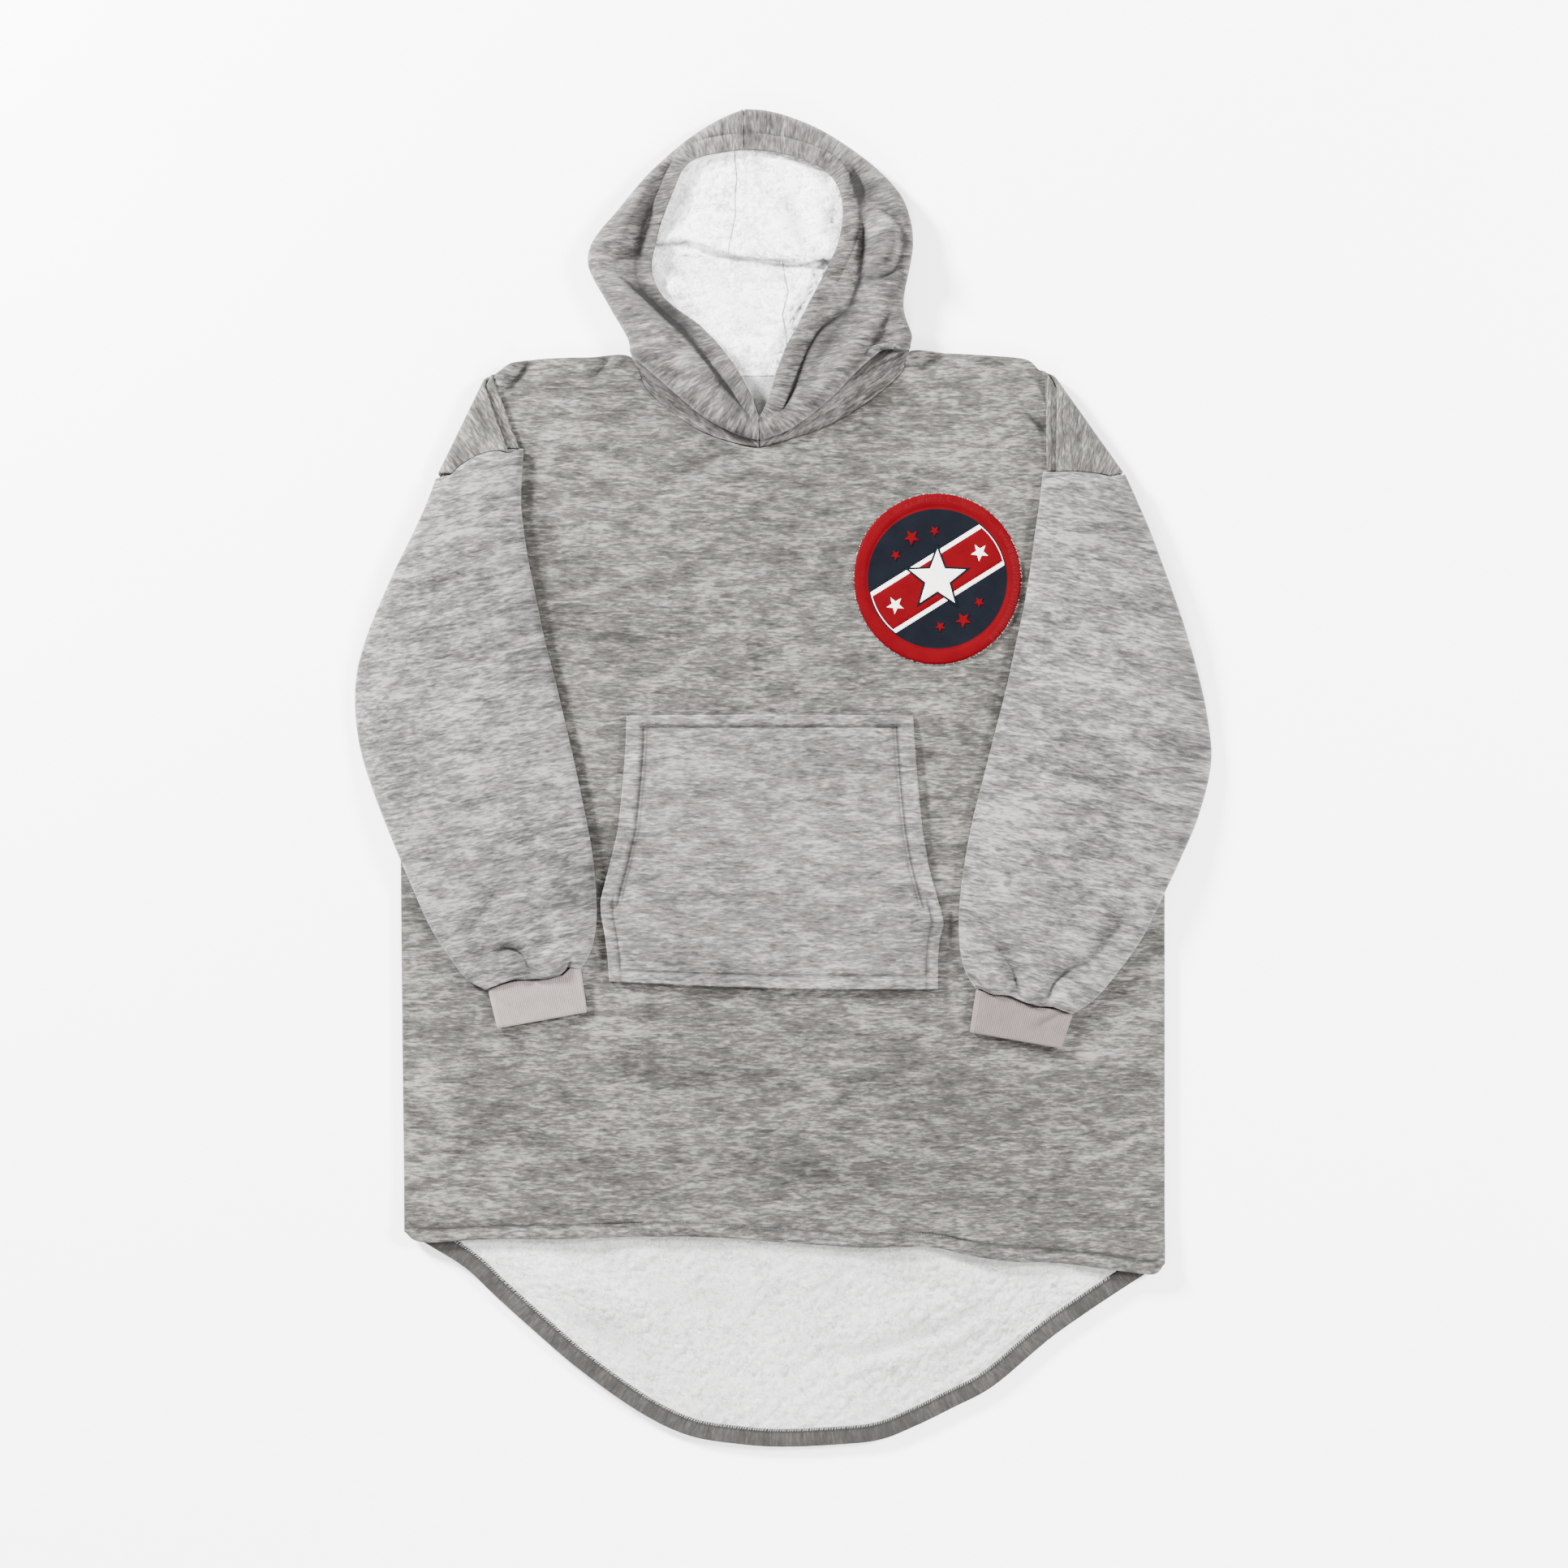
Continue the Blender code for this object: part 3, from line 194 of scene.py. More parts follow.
# Patch
PATCH_CENTRE = np.array((161.5, 208.5))
PATCH_RADII = np.array((87.5, 89.5))
PATCH_WALL = 1.6
PATCH_RIM_WIDTH = 13.5
PATCH_RIM_RISE = 1.2
PATCH_TOP = FRONT_TOP + SEAM + PATCH_WALL
PATCH_FIELD = 73.0               # radius of the charcoal felt
PATCH_THREADS = 420

# Hood: a row for each section of a half, from the crown round to the point of the neck.
# start is on the centre-back seam and then on the neck seam, fold is where the cloth turns up and
# over, and face is on the edge of the face opening. Heights are of the middle of the wall.
HOOD_LEFT = (
    # (start x, start y, start z, fold x, fold y, face x, face y, top z, dip, face z)
    (-41.15, 669, 2, -41.15, 701, -41.15, 657, 15, 0, 13.5),
    (-41.15, 649, 2, -68, 689, -64, 654, 16, 0, 14),
    (-41.15, 628, 2, -100, 669, -90, 648, 17, 0, 14.5),
    (-41.15, 606, 2, -137, 636, -104, 637, 18, 0, 15),
    (-41.15, 585, 2, -159, 611, -112, 620, 19, 0.5, 15.5),
    (-41.15, 564, 2, -176, 590, -120, 600, 20, 1, 16),
    (-41.15, 543, 2, -191, 573, -128, 578, 21, 1.5, 16.5),
    (-41.15, 521, 2, -202, 556, -133, 557, 21.5, 2, 17),
    (-40.65, 500, 2, -204.5, 538, -137, 538, 22, 2.5, 17),
    (-39.15, 479, 2, -198, 521, -135, 521, 23, 4, 17.5),
    (-37.15, 458, 2, -188, 504, -126, 504, 24, 5.5, 18),
    (-35.15, 439, 2, -178, 486, -112, 491, 25, 6.5, 18.5),
    (-33.15, 426, 2, -169, 471, -98, 481, 26, 7.5, 19),
    (-72, 431, 2, -163, 460, -87, 473, 26.5, 8, 19.5),
    (-118, 437, 2, -161, 453, -79, 465, 26.5, 8, 20),
    (-157.5, 443.6, 7.2, -159.5, 443.6, -71, 457, 26.5, 8, 20.5),
    (-143, 408, 6.8, -134, 421, -62, 446, 26.5, 8, 21),
    (-116, 383, 6.6, -107, 397, -53, 434, 26, 7, 21),
    (-86, 363, 6.6, -81, 376, -43, 418, 25, 6, 20.5),
    (-53, 351, 6.6, -50, 360, -33, 399, 22, 4, 19),
    (-25.5, 346, 6.6, -25.5, 353, -25.5, 378, 19, 2, 17),
)
HOOD_RIGHT = (
    # (start x, start y, start z, fold x, fold y, face x, face y, top z, dip, face z)
    (-40.85, 669, 2, -40.85, 701, -40.85, 657, 15, 0, 13.5),
    (-40.85, 649, 2, -17, 699, -17, 655.5, 16, 0, 14),
    (-40.85, 628, 2, 8, 692, 9, 650, 17, 0, 14.5),
    (-40.85, 606, 2, 39, 679, 31, 642, 18, 0, 15),
    (-40.85, 585, 2, 74, 657, 48, 631, 19, 0.5, 15.5),
    (-40.85, 564, 2, 101, 635, 58, 615, 20, 1, 16),
    (-40.85, 543, 2, 123, 610, 62, 597, 22, 2, 16.5),
    (-40.85, 521, 2, 133, 585, 61, 577, 24, 3, 17),
    (-40.35, 500, 2, 136, 560, 56, 556, 25, 4, 17),
    (-38.85, 479, 2, 133, 536, 47, 536, 25, 5, 17.5),
    (-36.85, 458, 2, 128, 513, 37, 516, 25, 5.5, 18),
    (-34.85, 439, 2, 126, 495, 27, 497, 25, 5, 18.5),
    (-32.85, 426, 2, 128, 482, 18, 479, 25.5, 4, 19),
    (13, 430, 2, 132, 471, 11, 466, 26, 4, 19.5),
    (92, 438, 2, 135, 462, 5, 455, 26.5, 4, 20),
    (130.5, 449.6, 7.2, 132.5, 449.6, 1, 446, 27, 4.5, 20.5),
    (124, 425, 7.2, 107, 451, -3, 436, 27.5, 5, 21),
    (99, 402, 6.6, 82, 431, -8, 422, 27.5, 5, 21),
    (69, 381, 6.6, 56, 404, -12, 407, 26.5, 5, 20.5),
    (38, 365, 6.6, 29, 380, -17, 393, 24, 4, 19.5),
    (5, 354, 6.6, 1, 362, -21.5, 383, 21, 2.5, 18),
    (-25, 346, 6.6, -25, 353, -25, 378, 19, 2, 17),
)
NAPE_ROW = 12         # the start leaves the centre-back seam for the back of the neck here
CORNER_ROW = 15       # and the back of the neck for its front here
HOOD_WALL = 4.0
HOOD_LOWER_COLUMNS = 3
HOOD_UPPER_COLUMNS = 9

# Hood lining, from the crown to the nape
LINING_ROWS = (
    # (y, centre x, left x, right x, raise), raise is over the cloth that it lies on
    (664, -41, -66, -6, 3.5),
    (645, -41, -104, 38, 1.8),
    (625, -41, -122, 63, 0.8),
    (600, -41, -131, 75, 0.4),
    (575, -41, -140, 74, 1.6),
    (556, -41, -145, 70, 4.6),
    (548, -41, -148, 68, 6.4),
    (543, -41, -149, 66, 0.9),
    (536, -41, -150, 62, 0.6),
    (515, -41, -144, 51, 0.4),
    (490, -39.5, -124, 36, 0.4),
    (465, -37.5, -96, 22, 0.4),
    (445, -35.5, -76, 10, 0.4),
    (432, -33.5, -62, 4, 0.4),
)
LINING_STEPS = 7
HOOD_LINING_WALL = 2.6
LINING_LEVEL = WALL + SEAM + HOOD_LINING_WALL / 2     # middle of the lining, on the back

# Photo: 0.85 mm to a pixel, with this pixel over the origin
PHOTO_MM = 0.85
PHOTO_ORIGIN = (965.0, 958.5)
PHOTO_WIDTH = 1932

# Meshing
FRONT_STEP = 4.4
BACK_STEP = 9.0
SLEEVE_STEP = 3.2
SLEEVE_ROW_STEP = 3.0
HOOD_STEP = 3.0
POCKET_STEP = 3.0
LINING_STEP = 2.2
TAIL_STEP = 2.6
RIM_ROUND = 0.8               # how far a free edge is rounded inwards
RIM_ANGLES = (60.0, 30.0, 0.0, -30.0, -60.0)

# Creases: raised or pressed lines along these points of the photo, in pixels. Each row is the
# height, the half width and the points, and a negative height is a trough.
FRONT_CREASES = (
    (-3.2, 6.0, ((660, 440), (647, 452), (634, 464), (619, 481))),
    (2.8, 9.0, ((640, 443), (625, 462), (612, 478))),
    (-1.6, 4.0, ((754, 440), (744, 450), (734, 461), (728, 470))),
    (1.2, 12.0, ((700, 455), (716, 470), (720, 500), (708, 540))),
    (-1.4, 10.0, ((900, 556), (872, 568), (845, 580), (815, 592))),
    (1.0, 16.0, ((905, 580), (860, 606), (810, 620))),
    (-1.0, 9.0, ((772, 512), (800, 516), (830, 524))),
    (-2.2, 4.5, ((1172, 434), (1158, 440), (1140, 447), (1128, 453))),
    (1.6, 10.0, ((1190, 446), (1160, 456), (1130, 468))),
    (-2.6, 5.0, ((1258, 503), (1270, 514), (1284, 527), (1294, 538))),
    (2.2, 9.0, ((1262, 480), (1280, 500), (1290, 516))),
    (-1.6, 6.0, ((1274, 466), (1286, 476), (1298, 485))),
    (-1.2, 14.0, ((1030, 575), (1000, 600), (985, 640))),
    (1.0, 18.0, ((700, 620), (730, 700), (742, 790))),
    (-1.0, 16.0, ((672, 640), (690, 720), (704, 800))),
    (-1.1, 15.0, ((1200, 845), (1180, 880), (1166, 925))),
    (1.0, 18.0, ((1170, 840), (1146, 880), (1130, 920))),
    (-1.3, 16.0, ((760, 1290), (860, 1330), (960, 1345))),
    (1.1, 22.0, ((700, 1340), (850, 1390), (1000, 1400))),
    (-1.2, 18.0, ((1080, 1330), (1180, 1370), (1290, 1380))),
    (1.0, 20.0, ((1120, 1400), (1230, 1430), (1380, 1430))),
    (-1.2, 14.0, ((560, 1380), (640, 1400), (740, 1440))),
    (-1.0, 16.0, ((860, 1440), (980, 1460), (1100, 1450))),
    (0.9, 16.0, ((520, 1300), (545, 1380), (560, 1470))),
)
HEM_WAVES = (
    # (height, half width, points)
    (1.6, 8.0, ((640, 1519), (700, 1518), (760, 1520))),
    (2.2, 9.0, ((786, 1516), (847, 1516), (900, 1520))),
    (1.8, 8.0, ((1030, 1525), (1090, 1528), (1140, 1528))),
    (2.4, 8.0, ((1170, 1536), (1225, 1545), (1290, 1548))),
    (1.4, 8.0, ((1330, 1552), (1400, 1560))),
)
SLEEVE_CREASES = {
    "left": (
        (-1.4, 10.0, ((600, 700), (560, 716), (520, 740))),
        (1.6, 14.0, ((640, 640), (600, 660), (570, 690))),
        (-1.2, 12.0, ((650, 800), (590, 812), (520, 830))),
        (1.4, 16.0, ((620, 850), (560, 880), (490, 900))),
        (-1.4, 12.0, ((600, 990), (560, 1010), (540, 1060))),
        (1.5, 16.0, ((690, 960), (640, 1000), (600, 1050))),
        (-2.4, 9.0, ((625, 1090), (607, 1110), (590, 1140), (578, 1165))),
        (2.0, 12.0, ((650, 1080), (640, 1120), (640, 1150))),
        (-4.6, 6.5, ((600, 1176), (623, 1169), (640, 1173), (650, 1186), (656, 1204))),
        (3.4, 9.0, ((596, 1192), (622, 1184), (640, 1193))),
        (2.6, 9.0, ((668, 1172), (684, 1184), (700, 1188))),
        (-2.6, 4.0, ((704, 1180), (700, 1190), (694, 1200))),
        (-1.8, 7.0, ((574, 1196), (590, 1180), (604, 1160))),
    ),
    "right": (
        (-3.0, 3.6, ((1279, 599), (1287, 604), (1300, 605), (1318, 606))),
        (2.0, 7.0, ((1281, 592), (1300, 594), (1330, 597), (1380, 600))),
        (-1.4, 10.0, ((1330, 640), (1370, 660), (1400, 690))),
        (-1.2, 12.0, ((1270, 760), (1330, 780), (1390, 790))),
        (1.4, 16.0, ((1260, 830), (1330, 850), (1410, 860))),
        (-1.3, 12.0, ((1300, 940), (1360, 980), (1400, 1030))),
        (1.5, 15.0, ((1240, 900), (1290, 960), (1320, 1020))),
        (-2.4, 8.0, ((1400, 1110), (1372, 1142), (1345, 1175), (1318, 1208))),
        (2.2, 12.0, ((1370, 1100), (1340, 1140), (1310, 1180))),
        (-4.2, 6.5, ((1222, 1146), (1232, 1172), (1246, 1192), (1253, 1210), (1255, 1230))),
        (3.4, 9.0, ((1205, 1180), (1220, 1204), (1240, 1214))),
        (2.4, 9.0, ((1262, 1190), (1270, 1210), (1280, 1220))),
        (-4.2, 6.0, ((1330, 1180), (1305, 1202), (1294, 1214), (1287, 1234))),
        (2.6, 9.0, ((1330, 1210), (1312, 1224), (1300, 1232))),
        (-2.4, 4.0, ((1198, 1222), (1206, 1215), (1212, 1206))),
    ),
}
CUFF_CREASES = {
    "left": (
        (-1.2, 4.0, ((604, 1222), (612, 1232), (622, 1240))),
        (0.9, 8.0, ((650, 1215), (665, 1222), (690, 1220))),
    ),
    "right": (
        (-2.2, 3.0, ((1316, 1243), (1302, 1250), (1290, 1257), (1274, 1266))),
        (1.6, 8.0, ((1305, 1243), (1285, 1248), (1262, 1256))),
        (0.8, 9.0, ((1215, 1235), (1235, 1240), (1250, 1246))),
    ),
}
HOOD_CREASES = {
    "left": (
        (-5.0, 4.8, ((757, 333), (764, 344), (779, 357), (797, 370), (822, 392), (847, 415),
                     (868, 441), (890, 472), (912, 500), (931, 527))),
        (-3.2, 9.0, ((811, 217), (797, 255), (786, 300), (785, 332), (794, 356))),
        (2.6, 9.0, ((800, 235), (770, 285), (756, 320))),
        (-2.0, 10.0, ((745, 300), (760, 318), (770, 330))),
        (2.4, 10.0, ((760, 352), (800, 400), (840, 448), (880, 500))),
        (-1.2, 6.0, ((866, 470), (878, 474), (892, 484))),
        (-1.2, 8.0, ((830, 190), (815, 215), (805, 235))),
    ),
    "right": (
        (-5.6, 6.2, ((1050, 205), (1056, 225), (1063, 250))),
        (-4.4, 5.0, ((1061, 262), (1065, 290), (1062, 325), (1056, 352), (1050, 374))),
        (7.5, 12.0, ((1080, 272), (1090, 290), (1092, 312), (1082, 330))),
        (-4.0, 6.0, ((1072, 258), (1088, 262), (1100, 270), (1110, 282), (1112, 305),
                     (1104, 330), (1086, 344), (1068, 346))),
        (-3.6, 5.8, ((1050, 374), (1036, 390), (1012, 404), (998, 425), (986, 450), (976, 480),
                     (966, 508), (960, 530))),
        (2.6, 12.0, ((1100, 370), (1070, 415), (1030, 462), (990, 505))),
        (-2.6, 8.0, ((1046, 217), (1056, 241), (1060, 262))),
        (2.4, 10.0, ((1085, 225), (1105, 255), (1118, 290))),
        (-1.4, 8.0, ((1020, 178), (1040, 195), (1052, 210))),
        (-2.4, 7.8, ((1046, 462), (1061, 445), (1082, 412), (1098, 384), (1112, 364))),
        (-1.6, 16.0, ((1064, 456), (1084, 432), (1104, 404))),
    ),
}
LINING_CREASES = (
    (-1.6, 6.0, ((978, 250), (984, 275), (992, 300))),
    (2.0, 10.0, ((1000, 235), (1008, 262), (1012, 292))),
    (-1.8, 6.0, ((1000, 300), (1010, 316), (1026, 326))),
    (-1.8, 6.0, ((820, 334), (830, 330), (840, 336), (844, 348))),
    (1.6, 8.0, ((824, 346), (832, 356), (842, 366))),
    (-1.4, 7.0, ((848, 330), (880, 345), (905, 352))),
    (-1.2, 8.0, ((900, 395), (925, 400), (945, 392))),
)
TAIL_CREASES = (
    (1.2, 12.0, ((1000, 1692), (1080, 1678), (1160, 1650), (1250, 1616))),
    (-1.2, 9.0, ((1010, 1676), (1080, 1664), (1150, 1642), (1240, 1606))),
    (-0.9, 10.0, ((690, 1600), (740, 1640), (800, 1660))),
    (-0.8, 12.0, ((760, 1570), (850, 1600), (940, 1600))),
    (0.8, 14.0, ((620, 1570), (700, 1580), (800, 1620))),
)

# Sleeve ends: how far the sleeve's edge runs over the cuff, across its width from the inner edge
SCALLOPS = {
    "left": ((0.0, 1.0), (0.1, -2.0), (0.2, 4.0), (0.36, 5.0), (0.52, 2.0), (0.68, -2.0),
             (0.85, -1.0), (1.0, 1.0)),
    "right": ((0.0, 1.0), (0.15, 2.5), (0.32, -0.5), (0.48, 2.0), (0.66, 2.5), (0.82, -1.0),
              (1.0, 1.0)),
}
SCALLOP_REACH = 34.0
CUFF_LAP = {"left": 0.6, "right": 1.6}     # how much nearer the sleeve's end comes to the cuff

# Sewing. MARKS are distances from an edge at which the mesh has a row or column of its own.
BAND_STITCH = 18.0            # width of the hem round the face opening
STITCHES_SHOWN = 0.27         # share of the hood's hem stitches outside the deep folds
FACE_MARKS = (0.0, 2.6, 6.0, 10.0, 13.0, 15.0, 16.4, 17.4, 18.4, 19.8, 22.0, 25.0)
HEM_STITCH = 13.5             # height of the front's hem
HEM_RISE = 1.2                # how much thicker it looks
HEM_GROOVE = 2.4              # and how deep its stitches press
HEM_MARKS = (0.0, 3.0, 6.0, 9.5, 12.4, 13.5, 14.6, 17.5, 21.0)
BAND_MARKS = (0.6, 2.4, 5.0, 8.0, 11.0, 14.0, 17.2, BAND_WIDTH)
THREAD_SPANS = (
    # (share of the stitch, thickness and height in radii of the thread)
    (0.0, 0.05, -0.55),
    (0.18, 0.85, -0.1),
    (0.5, 1.0, 0.25),
    (0.82, 0.85, -0.1),
    (1.0, 0.05, -0.55),
)

# How creases and painted shades are shaped
LINE_REACH = 4.0              # widths from a line at which it is left out
LINE_TAPER = 0.3              # share of a line over which each end fades
LINE_END = 0.25               # and how much is left at its very end
CREASE_ROUND = 1.8            # radius at the bottom of a sharp trough
CREASE_FALL = 1.3             # how fast its sides rise
SHARP_WIDTH = 7.6             # troughs narrower than this are sharp
FRONT_RELIEF = 2.4            # how much stronger the creases stand than their tables say
SLEEVE_RELIEF = 2.2
HOOD_RELIEF = 2.4
LINING_RELIEF = 2.6
TAIL_RELIEF = 3.4
SHADE_DEPTH = 1.5             # how much stronger the painted shades are than their tables say
PILE_HEIGHT = 1.5             # of the sherpa's tufts

# Body
PANEL_WIDTH = 800.0           # a panel has at least the columns for this width
PRESS_LIMIT = 3.4             # how far a crease may press the body down
FLAP_FINE_ROWS = 32
FLAP_PAINTED_LIGHT = 1.12              # how much lighter the folded shoulders are painted: painted light
TAIL_PUFF = 0.6               # how far the tail's lining stands up

# Sleeves and cuffs
ARMHOLE_REACH = 0.5
TURN_STEPS = (-45.0, 0.0, 45.0)       # angles of the points at a flattened tube's edges
SLEEVE_ROW_LENGTH = 22.0      # between two rows of the table, about
SLEEVE_PUFF = 6.0             # how far the upper wall stands up between its seams
SLEEVE_SINK = 6.5             # how far a crease may press a sleeve's upper wall
SLEEVE_GRAIN = {"left": 11.0, "right": -10.0}      # how far the cloth is turned, in degrees
RIB_SAMPLES = 6
CUFF_ROWS = 12

# Hood
ROLL_TUCK = 7.0               # the strip runs on this far under the roll beside the neck
STRIP_SHADE = 0.62            # how much darker the strip is painted there: painted shadow of the roll
STRIP_REACH = 3.6             # and how soon that ends
STRIP_GRAIN = {"left": -32.0, "right": 34.0}
HOOD_GROOVE = 1.9             # how deep the stitches of the face hem press
HOOD_SOFT_TOP = 33.0          # above this the hood's cloth is pressed together
HOOD_SOFT_REACH = 3.5         # and rises by no more than this
TUCK_Y = 548.0                # height of the tuck across the hood's lining
NECK_SEAM_Y = 421.0

# Painted shade and light: where the cloth is painted darker or lighter than its finish, standing in for
# shade in folds, hollows and beside raised pieces and for light on raised cloth, along these lines of
# the photo
FRONT_SHADES = (
    # (change of painted light, half width, points)
    (-0.26, 10.0, ((650, 560), (655, 640), (668, 740), (690, 850), (722, 980), (742, 1080))),
    (-0.34, 3.5, ((652, 448), (640, 460), (620, 480))),
    (-0.26, 3.5, ((752, 442), (742, 452), (730, 468))),
    (-0.26, 3.5, ((1170, 436), (1156, 442), (1132, 451))),
    (-0.36, 4.0, ((1262, 506), (1278, 520), (1292, 536))),
    (-0.20, 8.0, ((640, 530), (648, 575), (650, 620))),
    (-0.16, 10.0, ((1284, 560), (1274, 640), (1262, 740), (1236, 850), (1212, 960), (1190, 1060))),
    (-0.14, 12.0, ((1284, 540), (1270, 560), (1262, 590))),
    (-0.18, 9.0, ((770, 440), (797, 474), (830, 508), (868, 534), (910, 550))),
    (-0.12, 10.0, ((1130, 440), (1100, 470), (1050, 512), (1000, 536))),
    (-0.12, 18.0, ((770, 516), (820, 520), (870, 540))),
    (-0.12, 18.0, ((905, 560), (860, 578), (815, 594))),
    (-0.10, 26.0, ((980, 590), (960, 650), (950, 700))),
    (-0.10, 24.0, ((700, 1300), (900, 1330), (1060, 1330))),
    (-0.12, 24.0, ((900, 1440), (1060, 1450), (1300, 1470))),
    (-0.10, 20.0, ((1120, 1320), (1260, 1360), (1400, 1380))),
    (0.07, 26.0, ((520, 1250), (530, 1350), (540, 1450))),
    (-0.09, 80.0, ((640, 1420), (900, 1430), (1150, 1430), (1420, 1440))),
    (-0.05, 60.0, ((980, 560), (960, 700), (950, 860))),
    (-0.28, 4.0, ((745, 1222), (850, 1226), (950, 1228), (1060, 1226), (1150, 1224))),
    (-0.20, 5.0, ((738, 1104), (746, 1122), (748, 1170), (750, 1218))),
    (-0.20, 5.0, ((1164, 1120), (1156, 1150), (1152, 1190), (1150, 1218))),
)
TAIL_SHADES = (
    (-0.10, 16.0, ((700, 1540), (850, 1540), (1000, 1550), (1150, 1570), (1280, 1590))),
    (-0.10, 14.0, ((1010, 1668), (1080, 1656), (1160, 1630), (1230, 1604))),
    (-0.08, 22.0, ((700, 1600), (780, 1660), (860, 1720))),
    (-0.06, 24.0, ((900, 1610), (1000, 1600), (1080, 1590))),
    (-0.08, 16.0, ((1080, 1720), (1180, 1670), (1280, 1610))),
)
LINING_SHADES = (
    (-0.14, 16.0, ((845, 210), (828, 250), (815, 300), (808, 330))),
    (-0.10, 10.0, ((1030, 230), (1036, 262), (1028, 300))),
    (-0.16, 7.0, ((974, 236), (972, 262), (982, 292), (998, 312))),
    (-0.12, 6.0, ((1010, 250), (1020, 276), (1014, 300))),
    (-0.14, 7.0, ((812, 338), (826, 330), (838, 336), (846, 350))),
    (-0.10, 9.0, ((826, 360), (850, 384), (872, 400))),
    (-0.08, 14.0, ((880, 350), (900, 372), (930, 384))),
    (-0.16, 12.0, ((896, 436), (912, 460), (934, 500))),
    (-0.14, 10.0, ((1004, 340), (984, 380), (962, 430))),
    (-0.10, 10.0, ((910, 448), (932, 452), (956, 446))),
)
SLEEVE_SHADES = {
    "left": (
        (-0.13, 12.0, ((625, 1085), (606, 1110), (592, 1140), (580, 1165))),
        (-0.16, 9.0, ((580, 1195), (600, 1184), (625, 1178), (645, 1188))),
        (-0.08, 22.0, ((560, 1000), (640, 980), (700, 985))),
        (-0.08, 18.0, ((470, 900), (500, 930), (520, 960))),
        (0.06, 24.0, ((600, 860), (560, 900), (520, 960))),
        (-0.08, 20.0, ((560, 640), (600, 660), (640, 690))),
    ),
    "right": (
        (-0.14, 12.0, ((1400, 1110), (1370, 1140), (1345, 1172), (1318, 1204))),
        (-0.12, 7.0, ((1224, 1150), (1236, 1176), (1250, 1196))),
        (-0.10, 20.0, ((1400, 980), (1420, 1010), (1410, 1060))),
        (-0.08, 22.0, ((1300, 640), (1360, 660), (1410, 720))),
        (0.06, 24.0, ((1240, 900), (1290, 960), (1310, 1020))),
    ),
}
HOOD_SHADES = {
    "left": (
        (-0.30, 11.0, ((814, 210), (799, 252), (786, 298), (784, 330), (790, 352))),
        (-0.22, 7.0, ((770, 330), (790, 352), (824, 380), (856, 410), (884, 446))),
        (-0.60, 3.0, ((757, 333), (764, 344), (779, 357), (797, 370), (822, 392), (847, 415),
                      (868, 441), (890, 472), (912, 500), (931, 527))),
        (-0.26, 9.0, ((766, 336), (786, 352), (812, 372), (838, 394), (860, 420))),
        (-0.22, 5.0, ((872, 464), (896, 492), (918, 520))),
        (0.08, 8.0, ((770, 365), (810, 412), (850, 462), (890, 512))),
        (-0.14, 10.0, ((735, 300), (752, 316), (764, 334))),
        (0.09, 30.0, ((916, 150), (880, 158), (840, 184), (806, 214))),
    ),
    "right": (
        (-0.45, 4.0, ((1050, 212), (1056, 230), (1061, 250))),
        (-0.22, 8.0, ((1052, 214), (1064, 232), (1078, 248))),
        (-0.60, 2.6, ((1080, 262), (1090, 266), (1098, 274), (1106, 280))),
        (-0.16, 14.0, ((1060, 214), (1082, 240), (1096, 256))),
        (-0.60, 3.0, ((1058, 250), (1064, 276), (1065, 300), (1062, 325), (1058, 350), (1050, 376))),
        (-0.30, 6.0, ((1060, 340), (1056, 362), (1044, 386))),
        (-0.40, 4.0, ((1096, 266), (1102, 268), (1108, 272))),
        (-0.32, 5.0, ((1108, 280), (1114, 304), (1108, 328), (1092, 344), (1068, 349))),
        (-0.44, 3.5, ((1050, 376), (1028, 396), (1008, 412), (994, 440), (980, 474), (966, 510),
                      (958, 538))),
        (-0.30, 10.0, ((1054, 380), (1030, 408), (1010, 440), (994, 476), (980, 512))),
        (-0.18, 14.0, ((1070, 372), (1030, 410), (1006, 452))),
        (0.10, 8.0, ((1085, 285), (1096, 300), (1090, 320))),
        (-0.12, 9.0, ((1040, 200), (1056, 232), (1062, 262))),
        (-0.34, 3.0, ((1040, 468), (1061, 445), (1082, 412), (1098, 384), (1112, 364))),
        (-0.14, 9.0, ((1048, 466), (1068, 450), (1090, 420), (1104, 394), (1114, 376))),
        (0.09, 30.0, ((916, 150), (960, 150), (1010, 172), (1046, 196))),
    ),
}
# Line of the tuck
TUCK_LINE = np.transpose((
    # (x, y)
    (-152.0, 557.0), (-133.0, 559.5), (-98.0, 562.0), (-60.0, 549.5),
    (-34.0, 542.5), (7.0, 536.5), (49.0, 543.5), (70.0, 545.0),
))
# Seam up the middle of the hood's lining
LINING_SEAM = np.transpose((
    # (y, how far the seam wanders in x)
    (420.0, 40.0), (440.0, 38.5), (460.0, 41.0), (486.0, 38.5),
    (510.0, 46.0), (530.0, 42.0), (543.0, 40.0), (547.5, -16.0),
    (556.0, -16.0), (565.0, -14.0), (590.0, -9.0), (610.0, -9.5),
    (630.0, -7.5), (650.0, -10.0), (662.0, -10.0),
))

# Patch design and colours
SASH_TURN = math.radians(32.0)
CHARCOAL_DARK = (0.0012, 0.0015, 0.0025)
CHARCOAL_LIGHT = (0.004, 0.005, 0.0075)
SMALL_STARS = (
    # (along the sash, across it, radius)
    (52.0, 0.0, 9.5), (-52.0, 0.0, 9.5), (0.0, 51.0, 9.0), (0.0, -51.0, 9.0),
    (24.0, 44.0, 6.0), (-24.0, 44.0, 6.0), (24.0, -44.0, 6.0), (-24.0, -44.0, 6.0),
)

